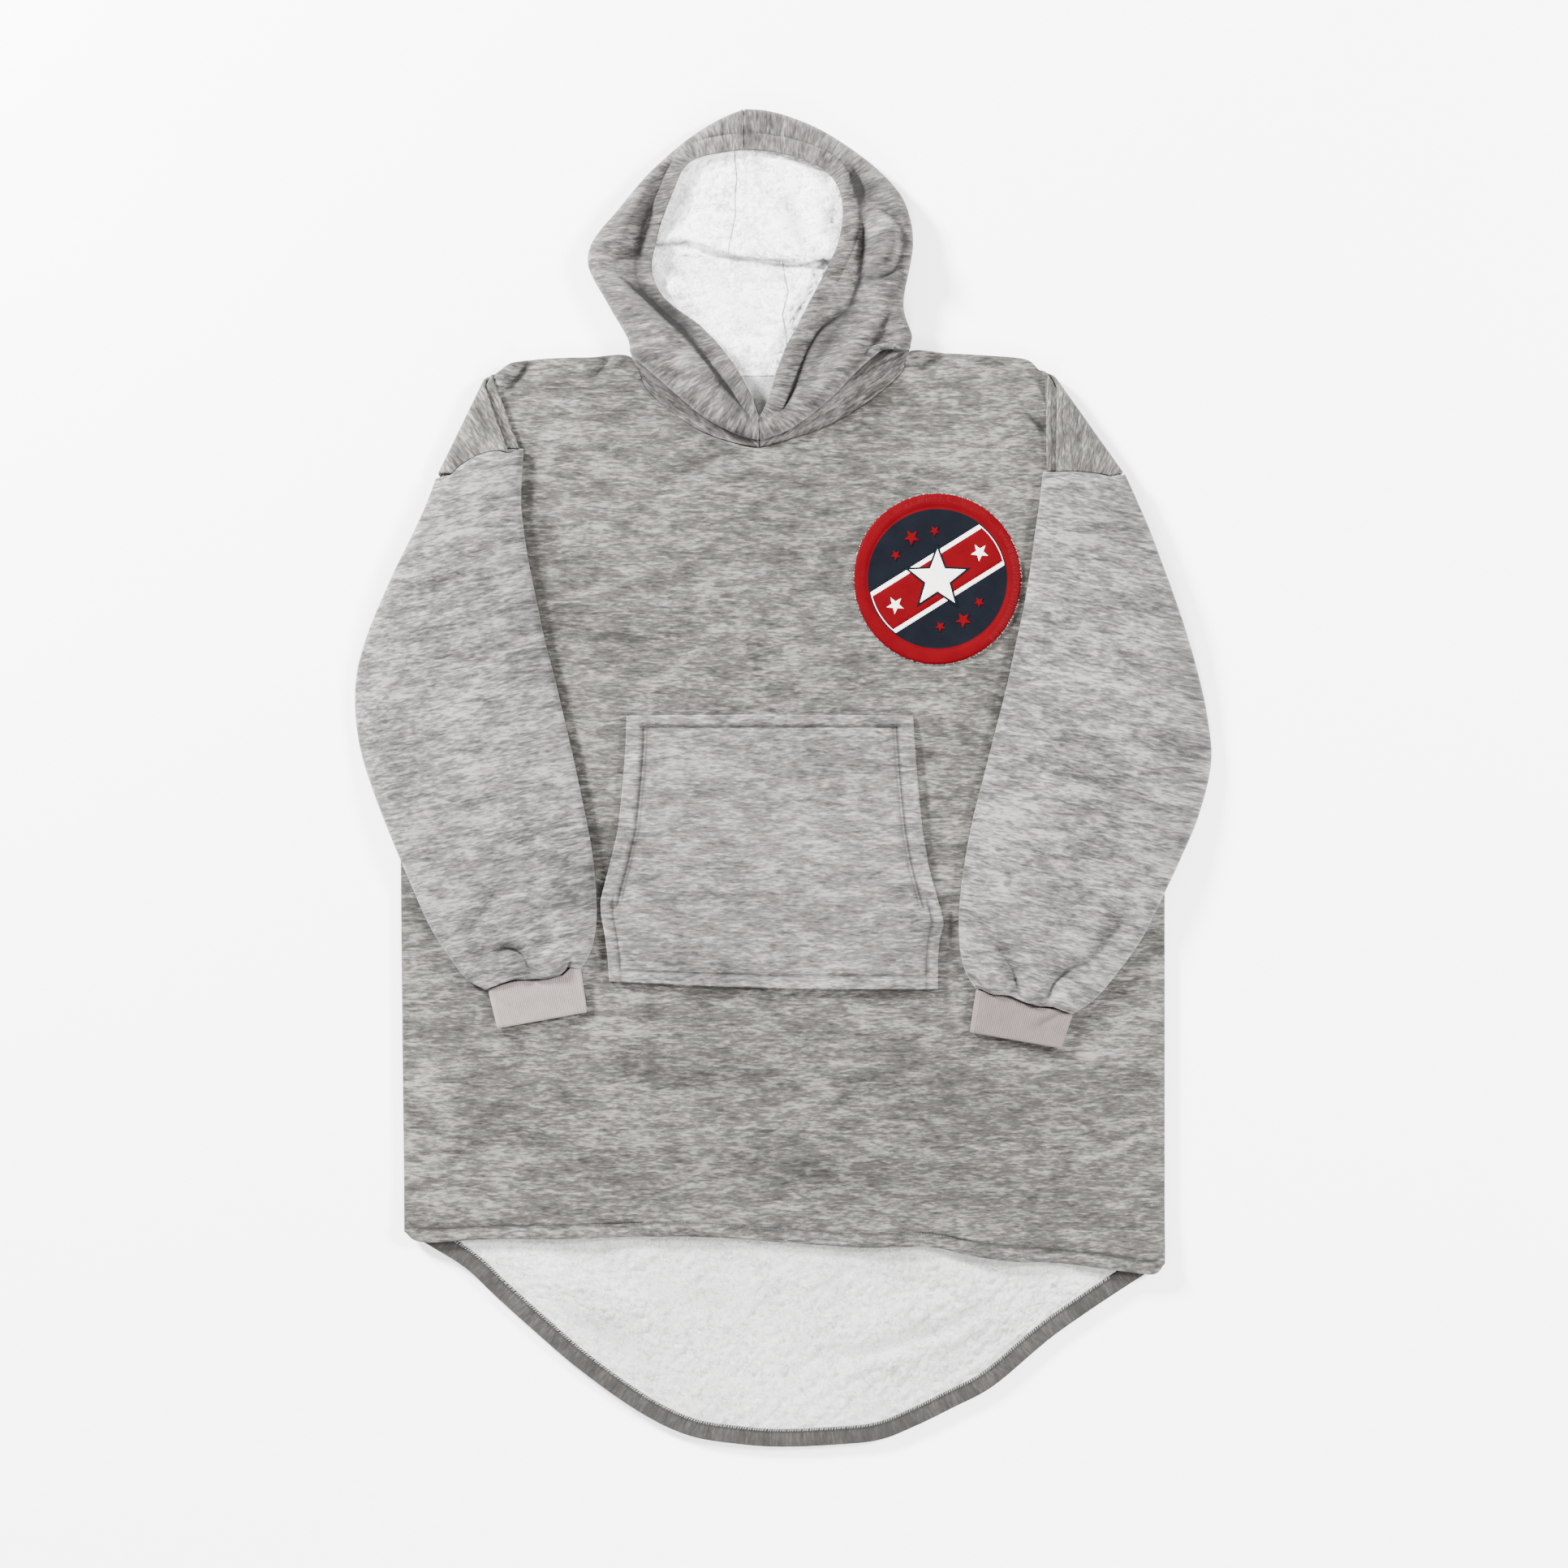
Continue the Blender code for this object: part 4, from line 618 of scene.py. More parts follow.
# Camera and lights
CAMERA_HEIGHT = 3.2
CLOTH_PLANE = 0.01            # the camera's height counts from here
WORLD_LIGHT = 1.3
LIGHTS = (
    # (name, place, size, power)
    ("key", (-2.7, 2.4, 1.5), 0.7, 1350.0),
    ("fill", (3.0, 1.0, 2.2), 0.9, 560.0),
    ("low", (0.2, -3.2, 2.2), 1.2, 300.0),
)


def ease(value):
    """0 below 0, 1 above 1 and a smooth step between."""
    held = np.clip(value, 0.0, 1.0)
    return held * held * (3.0 - 2.0 * held)


def bell(distance, width):
    """1 at a distance of 0, falling softly on both sides."""
    return np.exp(-(distance / width) ** 2)


def unit(vectors):
    """Vectors scaled to a length of 1."""
    return vectors / np.maximum(np.linalg.norm(vectors, axis=-1, keepdims=True), 1e-9)


def left_of(run):
    """Unit vectors at right angles to these, on their left."""
    run = unit(run)
    return np.stack([-run[:, 1], run[:, 0]], axis=1)


def run_along(path):
    """Distance along a path at each of its points."""
    return np.concatenate([[0.0], np.cumsum(np.linalg.norm(np.diff(path, axis=0), axis=1))])


def mean_run(grid):
    """Distance from a grid's first row at each row, as a mean over its columns."""
    lengths = np.linalg.norm(np.diff(grid, axis=0), axis=2).mean(axis=1)
    return np.concatenate([[0.0], np.cumsum(lengths)])


def row_runs(grid):
    """Distance along each row of a grid at each of its points."""
    lengths = np.linalg.norm(np.diff(grid, axis=1), axis=2)
    return np.concatenate([np.zeros((len(grid), 1)), np.cumsum(lengths, axis=1)], axis=1)


def along_path(path, distances):
    """Points at these distances along a path."""
    path = np.array(path)
    run = run_along(path)
    return np.stack([np.interp(distances, run, column) for column in path.T], axis=1)


def at_height(flat, heights):
    """Points of a flat grid at these heights."""
    return np.concatenate([flat, heights[..., None]], axis=2)


def spline(values, places, closed=False):
    """Values between the rows of a table, along a smooth curve through them."""
    values = np.asarray(values, dtype=float)
    if closed:
        padded = np.concatenate([values[-1:], values, values[:2]])
    else:
        padded = np.concatenate([2 * values[:1] - values[1:2], values,
                                 2 * values[-1:] - values[-2:-1]])
    low = np.clip(np.floor(places).astype(int), 0, len(padded) - 4)
    step = (places - low).reshape(-1, *[1] * (values.ndim - 1))
    before, here, there, after = [padded[low + number] for number in range(4)]
    return 0.5 * (2 * here + (there - before) * step
                  + (2 * before - 5 * here + 4 * there - after) * step ** 2
                  + (3 * here - before - 3 * there + after) * step ** 3)


def curve(points, count):
    """Even points along a smooth curve through the table's rows."""
    fine = spline(points, np.arange(8 * (len(points) - 1) + 1) / 8)
    return along_path(fine, np.linspace(0.0, run_along(fine)[-1], count))


def edge_at(points, x):
    """Height y of an outline that is listed from left to right, at x."""
    fine = curve(points, 8 * len(points))
    return np.interp(x, fine[:, 0], fine[:, 1])


def armhole(side, share, peek=0.0):
    """A point on the seam between shoulder and sleeve, from the sleeve head to the fold."""
    flap = FLAPS[side]
    head = np.array(flap["head"])
    foot = np.array(flap["foot_in"])
    head = head - unit(foot - head) * flap["peek"] * peek
    point = head + (foot - head) * share
    return point + np.array([0.0, flap["rise"] * math.sin(math.pi * share) ** 0.8])


def fold_axes(side):
    """Top and foot of a shoulder's fold, and the ways down it and outwards from it."""
    top = np.array(FLAPS[side]["top"])
    foot = np.array(FLAPS[side]["foot"])
    down = unit(foot - top)
    outward = np.array([down[1], -down[0]])
    if outward[0] * foot[0] < 0:
        outward = -outward
    return top, foot, down, outward


def flap_points(side, radius, level, peek):
    """Grid of a shoulder's flap, from the fold over and back to its seams."""
    top, foot, down, outward = fold_axes(side)
    turn = math.pi * radius
    rows = []
    for share in np.linspace(0.0, 1.0, FLAP_ROWS):
        end = armhole(side, share, peek) - top
        start = share * np.linalg.norm(foot - top)
        reach = turn - end @ outward
        row = []
        for distance in [*np.linspace(0.0, turn, FOLD_STEPS), *np.linspace(turn, reach, 4)[1:]]:
            along = start + (end @ down - start) * distance / reach
            angle = min(distance, turn) / radius
            out = radius * math.sin(angle) - max(distance - turn, 0.0)
            place = top + down * along + outward * out
            row.append((*place, level + radius - radius * math.cos(angle)))
        rows.append(row)
    return np.array(rows)


def neck(first, last, rows):
    """The neckline of a body panel beside the starts of the hood's rows."""
    table = np.array(rows)[first:last + 1]
    starts = table[:, :2]
    corner = CORNER_ROW - first
    if first < CORNER_ROW:
        away = np.tile([0.0, -1.0], (len(starts), 1))
    else:
        away = starts - table[:, 3:5]
        away[corner] = (starts[corner, 0], -abs(starts[corner, 0]))
    gaps = np.full((len(starts), 1), SEAM)
    gaps[corner] += HOOD_WALL / 2 + LAYER
    return starts + unit(away) * gaps


def ground(x, y):
    """Height of what a sleeve lies on: the front panel, and past its edge the surface."""
    left, right = [np.interp(y, *np.array(side).T[::-1]) for side in (SIDE_LEFT, SIDE_RIGHT)]
    past = max(left - x, x - right)
    return FRONT_TOP * (1.0 - ease((past - DROP_START) / (DROP_END - DROP_START)))


def tube_section(inner, outer, wall_mid, opening, columns, edge_share):
    """Closed loop of a flattened tube: bottom wall out, a turn, top wall back, a turn.

    Each point is (x, y, height, 1 on the top wall, share of the way across).
    """
    width = np.linalg.norm(outer - inner)
    across = (outer - inner) / width
    radius = (wall_mid + opening) / 2
    start = radius + wall_mid / 2
    places = np.interp(np.linspace(0.0, 1.0, columns), [0.0, 0.75, 1.0], [0.0, edge_share, 1.0])
    straight = inner + across * (start + places * (width - 2 * start))[:, None]
    bottom = [[*point, 0.0, 0.0, share] for point, share in zip(straight, places)]
    top = [[*point, 2 * radius, 1.0, share] for point, share in zip(straight, places)]
    turns = []
    for turn in TURN_STEPS:
        out = radius * math.cos(math.radians(turn))
        height = radius + radius * math.sin(math.radians(turn))
        turns.append(([*(inner + across * (width - start + out)), height, 0.0, 1.0],
                      [*(inner + across * (start - out)), height, 0.0, 0.0]))
    return np.array(bottom + [pair[0] for pair in turns] + top[::-1]
                    + [pair[1] for pair in turns[::-1]])


def armhole_loop(side, loop, columns):
    """Fit a sleeve's first section to the seam edges of the two shoulder flaps."""
    fitted = loop.copy()
    below = np.array([0.0, -(SEAM + 0.5)])
    shares = np.linspace(0.0, 1.0, columns - 2)
    low = np.array([armhole(side, share, 1.0) for share in shares])
    high = np.array([armhole(side, share) for share in shares])
    outer = loop[columns + 1, :2]
    step = (outer - high[-1]) * ARMHOLE_REACH
    low = np.vstack([low, low[-1] + step, low[-1] + 2 * step])
    high = np.vstack([low[:1], high, high[-1] + step])
    fitted[:columns, :2] = low + below
    fitted[:columns, 2] = FRONT_MID + 2 * FRONT_FOLD
    fitted[columns + 3:2 * columns + 3, :2] = high[::-1] + below
    fitted[columns + 3:2 * columns + 3, 2] = BACK_MID + 2 * BACK_FOLD
    across = unit(low[-1] - low[0])
    radius = (BACK_MID - FRONT_MID) / 2 + BACK_FOLD - FRONT_FOLD
    for number, angle in enumerate(TURN_STEPS):
        out = across * radius * math.cos(math.radians(angle))
        height = FRONT_MID + 2 * FRONT_FOLD + radius * (1.0 + math.sin(math.radians(angle)))
        fitted[columns + number] = (*(low[-1] + below + out), height)
        fitted[-1 - number] = (*(low[0] + below - out), height)
    return fitted


def hood_section(index, row):
    """Mid-wall points of one section: along the bottom, up round the fold and back to the face.

    Towards the corner of the neck the cloth stands up from its seam, and beyond it the cloth comes
    from the outside of the fold.
    """
    start = np.array(row[0:2])
    fold = np.array(row[3:5])
    face = np.array(row[5:7])
    start_z, top_z, dip, face_z = row[2], row[7], row[8], row[9]
    inward = face - fold
    length = np.linalg.norm(inward)
    inward /= length
    half = HOOD_WALL / 2
    edge = fold + inward * half
    rise = (top_z - start_z) / 2
    under = (start - edge) @ inward
    turned = float(ease(abs(index - CORNER_ROW) / 3.0))
    foot_reach = min(max(under, -rise * 0.7 * turned), rise * 0.9 * turned)
    if index > CORNER_ROW:
        foot_reach += (ROLL_TUCK - foot_reach) * turned
    foot = edge + inward * foot_reach
    leg = np.linalg.norm(foot - start)
    path = [(*start, start_z)]
    for angle in range(0, 91, 15):
        turn = math.radians(angle)
        reach = foot_reach * (1.0 - math.sin(turn))
        path.append((*(edge + inward * reach), start_z + rise * (1.0 - math.cos(turn))))
    total = run_along(path)[-1]
    steps = HOOD_LOWER_COLUMNS + 3
    even = total * np.arange(steps) / steps
    arc = total - leg
    apart = np.concatenate([leg * np.arange(HOOD_LOWER_COLUMNS) / HOOD_LOWER_COLUMNS,
                            leg + arc * np.arange(3) / 3])
    long_leg = min(leg / 25.0, 1.0)
    points = list(along_path(path, apart * long_leg + even * (1.0 - long_leg)))
    shoulder = min(rise * 1.1, (length - half) * 0.45)
    for angle in (0.0, 30.0, 60.0, 90.0):
        turn = math.radians(angle)
        reach = shoulder * (1.0 - math.cos(turn))
        points.append((*(edge + inward * reach), start_z + rise + rise * math.sin(turn)))
    for step in range(1, HOOD_UPPER_COLUMNS - 2):
        share = step / (HOOD_UPPER_COLUMNS - 3)
        reach = shoulder + (length - half - shoulder) * share
        trough = dip * bell(share - 0.55, 0.22)
        height = top_z + (face_z - top_z) * ease(share) - trough
        points.append((*(edge + inward * reach), height))
    return points


def photo(points):
    """Points of the photo, in pixels, as millimetres in the row frame."""
    pixels = np.array(points, dtype=float)
    return np.stack([(pixels[:, 0] - PHOTO_ORIGIN[0]) * PHOTO_MM,
                     (PHOTO_ORIGIN[1] - pixels[:, 1]) * PHOTO_MM], axis=1)


def refine(grid, row_places, column_places, closed=False):
    """A grid with more rows and columns, smooth both ways."""
    rows = spline(grid, row_places)
    return np.swapaxes(spline(np.swapaxes(rows, 0, 1), column_places, closed), 0, 1)


def spread(grid, axis, step, first=(), last=(), closed=False):
    """Places along one side of a grid, about a step apart, with more near its ends."""
    along = grid if axis == 0 else np.swapaxes(grid, 0, 1)
    if closed:
        along = np.concatenate([along, along[:1]])
    run = mean_run(along)
    total = run[-1]
    low = max(first) if first else 0.0
    high = max(last) if last else 0.0
    middle = np.linspace(low, total - high, max(int(round((total - low - high) / step)), 2) + 1)
    marks = np.concatenate([sorted(first)[:-1], middle, total - np.array(sorted(last)[:-1])[::-1]])
    if closed:
        marks = marks[:-1]
    return np.interp(marks, run, np.arange(len(run)))


def line_weight(xy, path, width, sharp=False):
    """1 on a line and falling to 0 at its sides and towards its ends."""
    flat = xy.reshape(-1, 2)
    reach = LINE_REACH * width
    inside = np.all((flat > path.min(axis=0) - reach) & (flat < path.max(axis=0) + reach), axis=1)
    picked = flat[inside]
    found = np.full(len(picked), np.inf)
    place = np.zeros(len(picked))
    run = run_along(path)
    for start, end, passed, length in zip(path[:-1], path[1:], run[:-1], np.diff(run)):
        along = np.clip(((picked - start) @ (end - start)) / length ** 2, 0.0, 1.0)
        away = np.linalg.norm(picked - start - along[:, None] * (end - start), axis=1)
        closer = away < found
        found = np.where(closer, away, found)
        place = np.where(closer, (passed + along * length) / run[-1], place)
    ends = ease(place / LINE_TAPER) * ease((1.0 - place) / LINE_TAPER)
    softened = np.hypot(found, CREASE_ROUND) - CREASE_ROUND
    fall = np.exp(-softened / width * CREASE_FALL) if sharp else bell(found, width)
    weight = np.zeros(len(flat))
    weight[inside] = fall * (LINE_END + (1.0 - LINE_END) * ends)
    return weight.reshape(xy.shape[:-1])


def relief(xy, table, sharp=True):
    """How far creases lift or press the cloth at each point. Narrow troughs are sharp."""
    total = np.zeros(xy.shape[:-1])
    for height, width, points in table:
        path = curve(photo(points), 4 * len(points))
        narrow = sharp and height < 0.0 and width < SHARP_WIDTH
        total += height * line_weight(xy, path, width, narrow)
    return total


def painted_shade(xy, table):
    """How much darker the cloth is painted near deep folds, where light hardly reaches, and how much
    lighter where a table says so: painted shade and painted light.
    """
    return SHADE_DEPTH * relief(xy, table, sharp=False)


def ripple(xy, seed, size, height, count=26):
    """Low uneven swells: sums of soft waves in directions and lengths that differ."""
    dice = np.random.default_rng(seed)
    total = np.zeros(xy.shape[:-1])
    for _ in range(count):
        angle = dice.uniform(0.0, math.tau)
        length = size * dice.uniform(0.6, 1.8)
        phase = dice.uniform(0.0, math.tau)
        along = xy[..., 0] * math.cos(angle) + xy[..., 1] * math.sin(angle)
        total += np.sin(along * math.tau / length + phase)
    return total * height / math.sqrt(count)


def pile(points, seed):
    """Tufts of a sherpa face, in two sizes."""
    flat = points[..., :2]
    coarse = ripple(flat, seed, 13.0, 0.45, 30)
    fine = ripple(flat, seed + 1, 6.0, 0.4, 40)
    return PILE_HEIGHT * (coarse + fine)


def to_grid(rows, columns, closed=False, first=0):
    """Faces of a grid as an array of four corners."""
    last = columns if closed else columns - 1
    row = np.arange(rows - 1)[:, None]
    column = np.arange(last)[None]
    after = (column + 1) % columns
    here = first + row * columns
    faces = np.stack([here + column, here + after, here + columns + after,
                      here + columns + column], axis=2)
    return faces.reshape(-1, 4)


def join(parts):
    """Several grids of points, faces and cloth places as one, with shared points welded."""
    points = np.vstack([part[0] for part in parts])
    cloth = np.vstack([part[2] for part in parts])
    firsts = np.cumsum([0] + [len(part[0]) for part in parts[:-1]])
    faces = np.vstack([part[1] + first for part, first in zip(parts, firsts)])
    _, index, inverse = np.unique(np.round(points, 3), axis=0, return_index=True,
                                  return_inverse=True)
    inverse = inverse.reshape(-1)
    faces = inverse[faces]
    return points[index], faces, cloth[index]


def point_normals(points, faces):
    """Unit normals at the points of faces with four corners."""
    corners = points[faces]
    areas = np.cross(corners[:, 2] - corners[:, 0], corners[:, 3] - corners[:, 1])
    normals = np.zeros_like(points)
    for column in range(4):
        np.add.at(normals, faces[:, column], areas)
    return unit(normals)


def shell(name, points, faces, cloth, thickness, skin, rise=0.0, out="level", painted_light=1.0):
    """Cloth of this thickness round its middle surface, with rounded edges.

    rise lifts the outer side; out is "level" or "round" and says which side is the outer one.
    The last argument darkens or lightens the finish: painted shade in troughs and painted light on
    ridges.
    """
    normals = point_normals(points, faces)
    seen = ((points - points.mean(axis=0)) * normals).sum() if out == "round" else normals[:, 2].sum()
    if seen < 0.0:
        faces = faces[:, ::-1]
        normals = -normals
    count = len(points)
    half = thickness / 2
    lift = np.broadcast_to(rise, count).astype(float)
    painted_light = np.broadcast_to(painted_light, count).astype(float)
    edges = np.concatenate([faces[:, [column, (column + 1) % 4]] for column in range(4)])
    edges = edges.astype(np.int64)
    border = edges[~np.isin(edges @ (count, 1), edges @ (1, count))]
    outer = points + normals * (half + lift)[:, None]
    inner = points - normals * half
    all_points = [outer, inner]
    kept = [np.arange(count), np.arange(count)]
    all_faces = [faces, faces[:, ::-1] + count]
    if len(border):
        outward = np.zeros_like(points)
        run = unit(points[border[:, 1]] - points[border[:, 0]])
        for side in range(2):
            np.add.at(outward, border[:, side], np.cross(run, normals[border[:, side]]))
        rim = np.unique(border)
        away = unit(outward[rim])
        corner = min(half, RIM_ROUND)
        outer[rim] -= away * corner
        inner[rim] -= away * corner
        starts, ends = np.searchsorted(rim, border.T)
        rings = [rim]
        for number, angle in enumerate(RIM_ANGLES):
            turn = math.radians(angle)
            height = half * math.sin(turn) + lift[rim] * (1.0 + math.sin(turn)) / 2
            all_points.append(points[rim] - away * corner * (1.0 - math.cos(turn))
                              + normals[rim] * height[:, None])
            kept.append(rim)
            rings.append(2 * count + number * len(rim) + np.arange(len(rim)))
        rings.append(rim + count)
        for above, below in zip(rings[:-1], rings[1:]):
            all_faces.append(np.stack([above[ends], above[starts], below[starts], below[ends]],
                                      axis=1))
    kept = np.concatenate(kept)
    return build(name, np.vstack(all_points), np.vstack(all_faces), cloth[kept], skin, painted_light[kept])


def build(name, points, faces, cloth, skin, painted_lights=None):
    """A smooth mesh object from points in millimetres, with its place on the cloth as a map."""
    mesh = bpy.data.meshes.new(name)
    resting = np.maximum(points, (-np.inf, -np.inf, 0.0))
    mesh.from_pydata((resting * MM).tolist(), [], faces.tolist())
    mesh.polygons.foreach_set("use_smooth", np.ones(len(mesh.polygons), dtype=bool))
    corners = np.zeros(len(mesh.loops), dtype=np.int32)
    mesh.loops.foreach_get("vertex_index", corners)
    layer = mesh.uv_layers.new(name="cloth")
    layer.data.foreach_set("uv", (cloth[corners] * MM).astype(np.float32).ravel())
    # This attribute is painted shade and light, which the finish multiplies its colour by
    painted_lights = np.ones(len(points)) if painted_lights is None else painted_lights
    mesh.attributes.new("painted_light", "FLOAT", "POINT").data.foreach_set("value", painted_lights.astype(np.float32))
    mesh.materials.append(skin)
    mesh.update()
    made = bpy.data.objects.new(name, mesh)
    bpy.context.scene.collection.objects.link(made)
    return made


def finish_piece(made, node):
    """Attaches a piece to the root body and hides the solid it stands for, if any."""
    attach(made, "root")
    if node:
        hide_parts(node)
    return made


def turned_cloth(points, degrees):
    """Cloth places of points that lie flat, with the grain at an angle."""
    turn = math.radians(degrees)
    x, y, z = points[..., 0], points[..., 1], points[..., 2]
    return np.stack([x * math.cos(turn) + y * math.sin(turn) + z,
                     y * math.cos(turn) - x * math.sin(turn)], axis=-1)


def sleeve_edges(y):
    """x of the inner edges of the two sleeves at a height y, or of the body below them."""
    found = []
    for side, body in (("left", -400.0), ("right", 400.0)):
        table = np.array(SLEEVES[side])[::-1]
        corner = np.array(CUFFS[side][2])
        ys = np.concatenate([[corner[1] - 30.0, corner[1]], table[:, 1]])
        xs = np.concatenate([[body, corner[0]], table[:, 0]])
        found.append(np.interp(y, ys, xs))
    return found


def swell(xy):
    """Height of the front's low swells, which the pocket and patch lie on too."""
    left, right = sleeve_edges(xy[..., 1])
    calm = ease((xy[..., 0] - left) / 45.0) * ease((right - xy[..., 0]) / 45.0)
    top = ease((430.0 - xy[..., 1]) / 60.0)
    return (ripple(xy, 5, 190.0, 0.9) + 0.9) * calm * top


def grid_shell(name, points, cloth, thickness, skin, out="level", closed=False, rise=0.0, painted_light=1.0):
    """Shell of a grid of points. A closed grid joins its last column to its first."""
    return shell(name, points.reshape(-1, 3), to_grid(*points.shape[:2], closed=closed),
                 cloth.reshape(-1, 2), thickness, skin, np.ravel(rise), out, np.ravel(painted_light))


def flap_grid(side, radius, level, peek):
    """A shoulder's flap as a fine grid, and where its cloth would lie unfolded."""
    top, _, down, outward = fold_axes(side)
    coarse = flap_points(side, radius, level, peek)
    along = (coarse[..., :2] - top) @ down
    cloth = top + along[..., None] * down + row_runs(coarse)[..., None] * outward
    rows = np.linspace(0, FLAP_ROWS - 1, FLAP_FINE_ROWS)
    columns = np.concatenate([np.linspace(0, FOLD_STEPS - 1, 4 * (FOLD_STEPS - 1) + 1)[:-1],
                              np.linspace(FOLD_STEPS - 1, coarse.shape[1] - 1, 19)])
    both = refine(np.concatenate([coarse, cloth], axis=2), rows, columns)
    return both[..., :3], both[..., 3:]


def blend_patch(bottom, top, left, right):
    """Points of a patch between four edges, spaced as the edges are."""
    spans = [run_along(line) / run_along(line)[-1] for line in (bottom, top, left, right)]
    across = ((spans[0] + spans[1]) / 2)[None, :, None]
    up = ((spans[2] + spans[3]) / 2)[:, None, None]
    lofted = (1 - up) * bottom[None] + up * top[None]
    swept = (1 - across) * left[:, None] + across * right[:, None]
    corners = ((1 - up) * ((1 - across) * bottom[0] + across * bottom[-1])
               + up * ((1 - across) * top[0] + across * top[-1]))
    return lofted + swept - corners


def throat_line(first):
    """The neckline of the front or the back, from left to right."""
    if first == CORNER_ROW:
        left = neck(first, len(HOOD_LEFT) - 1, HOOD_LEFT)
        right = neck(first, len(HOOD_RIGHT) - 1, HOOD_RIGHT)[::-1]
        return np.vstack([left[:-1], (left[-1] + right[0]) / 2, right[1:]])
    return np.vstack([neck(first, CORNER_ROW, HOOD_LEFT)[::-1],
                      neck(first, CORNER_ROW, HOOD_RIGHT)[1:]])


def panel(name, bottom, first_neck, radius, level, peek, lift, step, skin, creases=()):
    """The front or back as a fine shell: body and two folded flaps."""
    flaps = [flap_grid(side, radius, level, peek) for side in ("left", "right")]
    outline = np.vstack([flaps[0][0][0, 0, :2], SHOULDER_LEFT, throat_line(first_neck),
                         SHOULDER_RIGHT[::-1], flaps[1][0][0, 0, :2]])
    columns = int(max(run_along(outline)[-1], PANEL_WIDTH) / step)
    top = curve(outline, columns)
    hem = curve(bottom, columns)
    count = int(abs(hem[0, 1] - FLAPS["left"]["foot"][1]) / step)
    sides = []
    for (flap, _), side, corner in ((flaps[0], SIDE_LEFT, hem[0]), (flaps[1], SIDE_RIGHT, hem[-1])):
        fold = flap[::-1, 0, :2]
        fine = curve((tuple(corner), *side, tuple(fold[0])), 6 * count)
        above_hem = np.linspace(25.0, run_along(fine)[-1], count)[:-1]
        sides.append(np.vstack([along_path(fine, [*HEM_MARKS, *above_hem]), fold]))
    flat = blend_patch(hem, top, *sides)
    above = flat[..., 1] - flat[0, None, :, 1]
    stitch = bell(above - HEM_STITCH, 2.3)
    heights = level + lift * (1.0 - ease((above - 18.0) / 45.0))
    heights += HEM_RISE * (1.0 - ease((above - HEM_STITCH) / 3.0)) - HEM_GROOVE * stitch
    # Painted shade in the hem's stitch groove, and painted light on the raised hem below it
    painted_lights = 1.0 - 0.8 * stitch + 0.08 * ease((above - 1.0) / 3.0) * ease((11.0 - above) / 3.0)
    if creases:
        lines = relief(flat, creases) * FRONT_RELIEF
        heights += lines + swell(flat)
        # Painted shade in the creases' troughs and painted light on their ridges, and the painted shade
        # lines
        painted_lights += np.clip(lines * 0.06, -0.4, 0.1) + painted_shade(flat, FRONT_SHADES)
    heights = np.maximum(heights, level - PRESS_LIMIT)
    body = at_height(flat, heights)
    # The third column of the cloth places carries the painted light and shade
    parts = [(body.reshape(-1, 3), to_grid(*flat.shape[:2]), at_height(flat, painted_lights).reshape(-1, 3))]
    for number, (flap, flap_cloth) in enumerate(flaps):
        rows, columns = flap.shape[:2]
        faces = to_grid(rows, columns)
        if number:
            faces = faces[:, ::-1]
        edge = body[-rows:, -number][::-1, 2] - level
        flap[..., 2] += edge[:, None] * np.linspace(1.0, 0.0, columns)[None] ** 2
        flap_cloth = at_height(flap_cloth, np.full((rows, columns), FLAP_PAINTED_LIGHT))
        parts.append((flap.reshape(-1, 3), faces, flap_cloth.reshape(-1, 3)))
    points, faces, cloth = join(parts)
    return shell(name, points, faces, cloth[:, :2], WALL, skin, painted_light=cloth[:, 2])


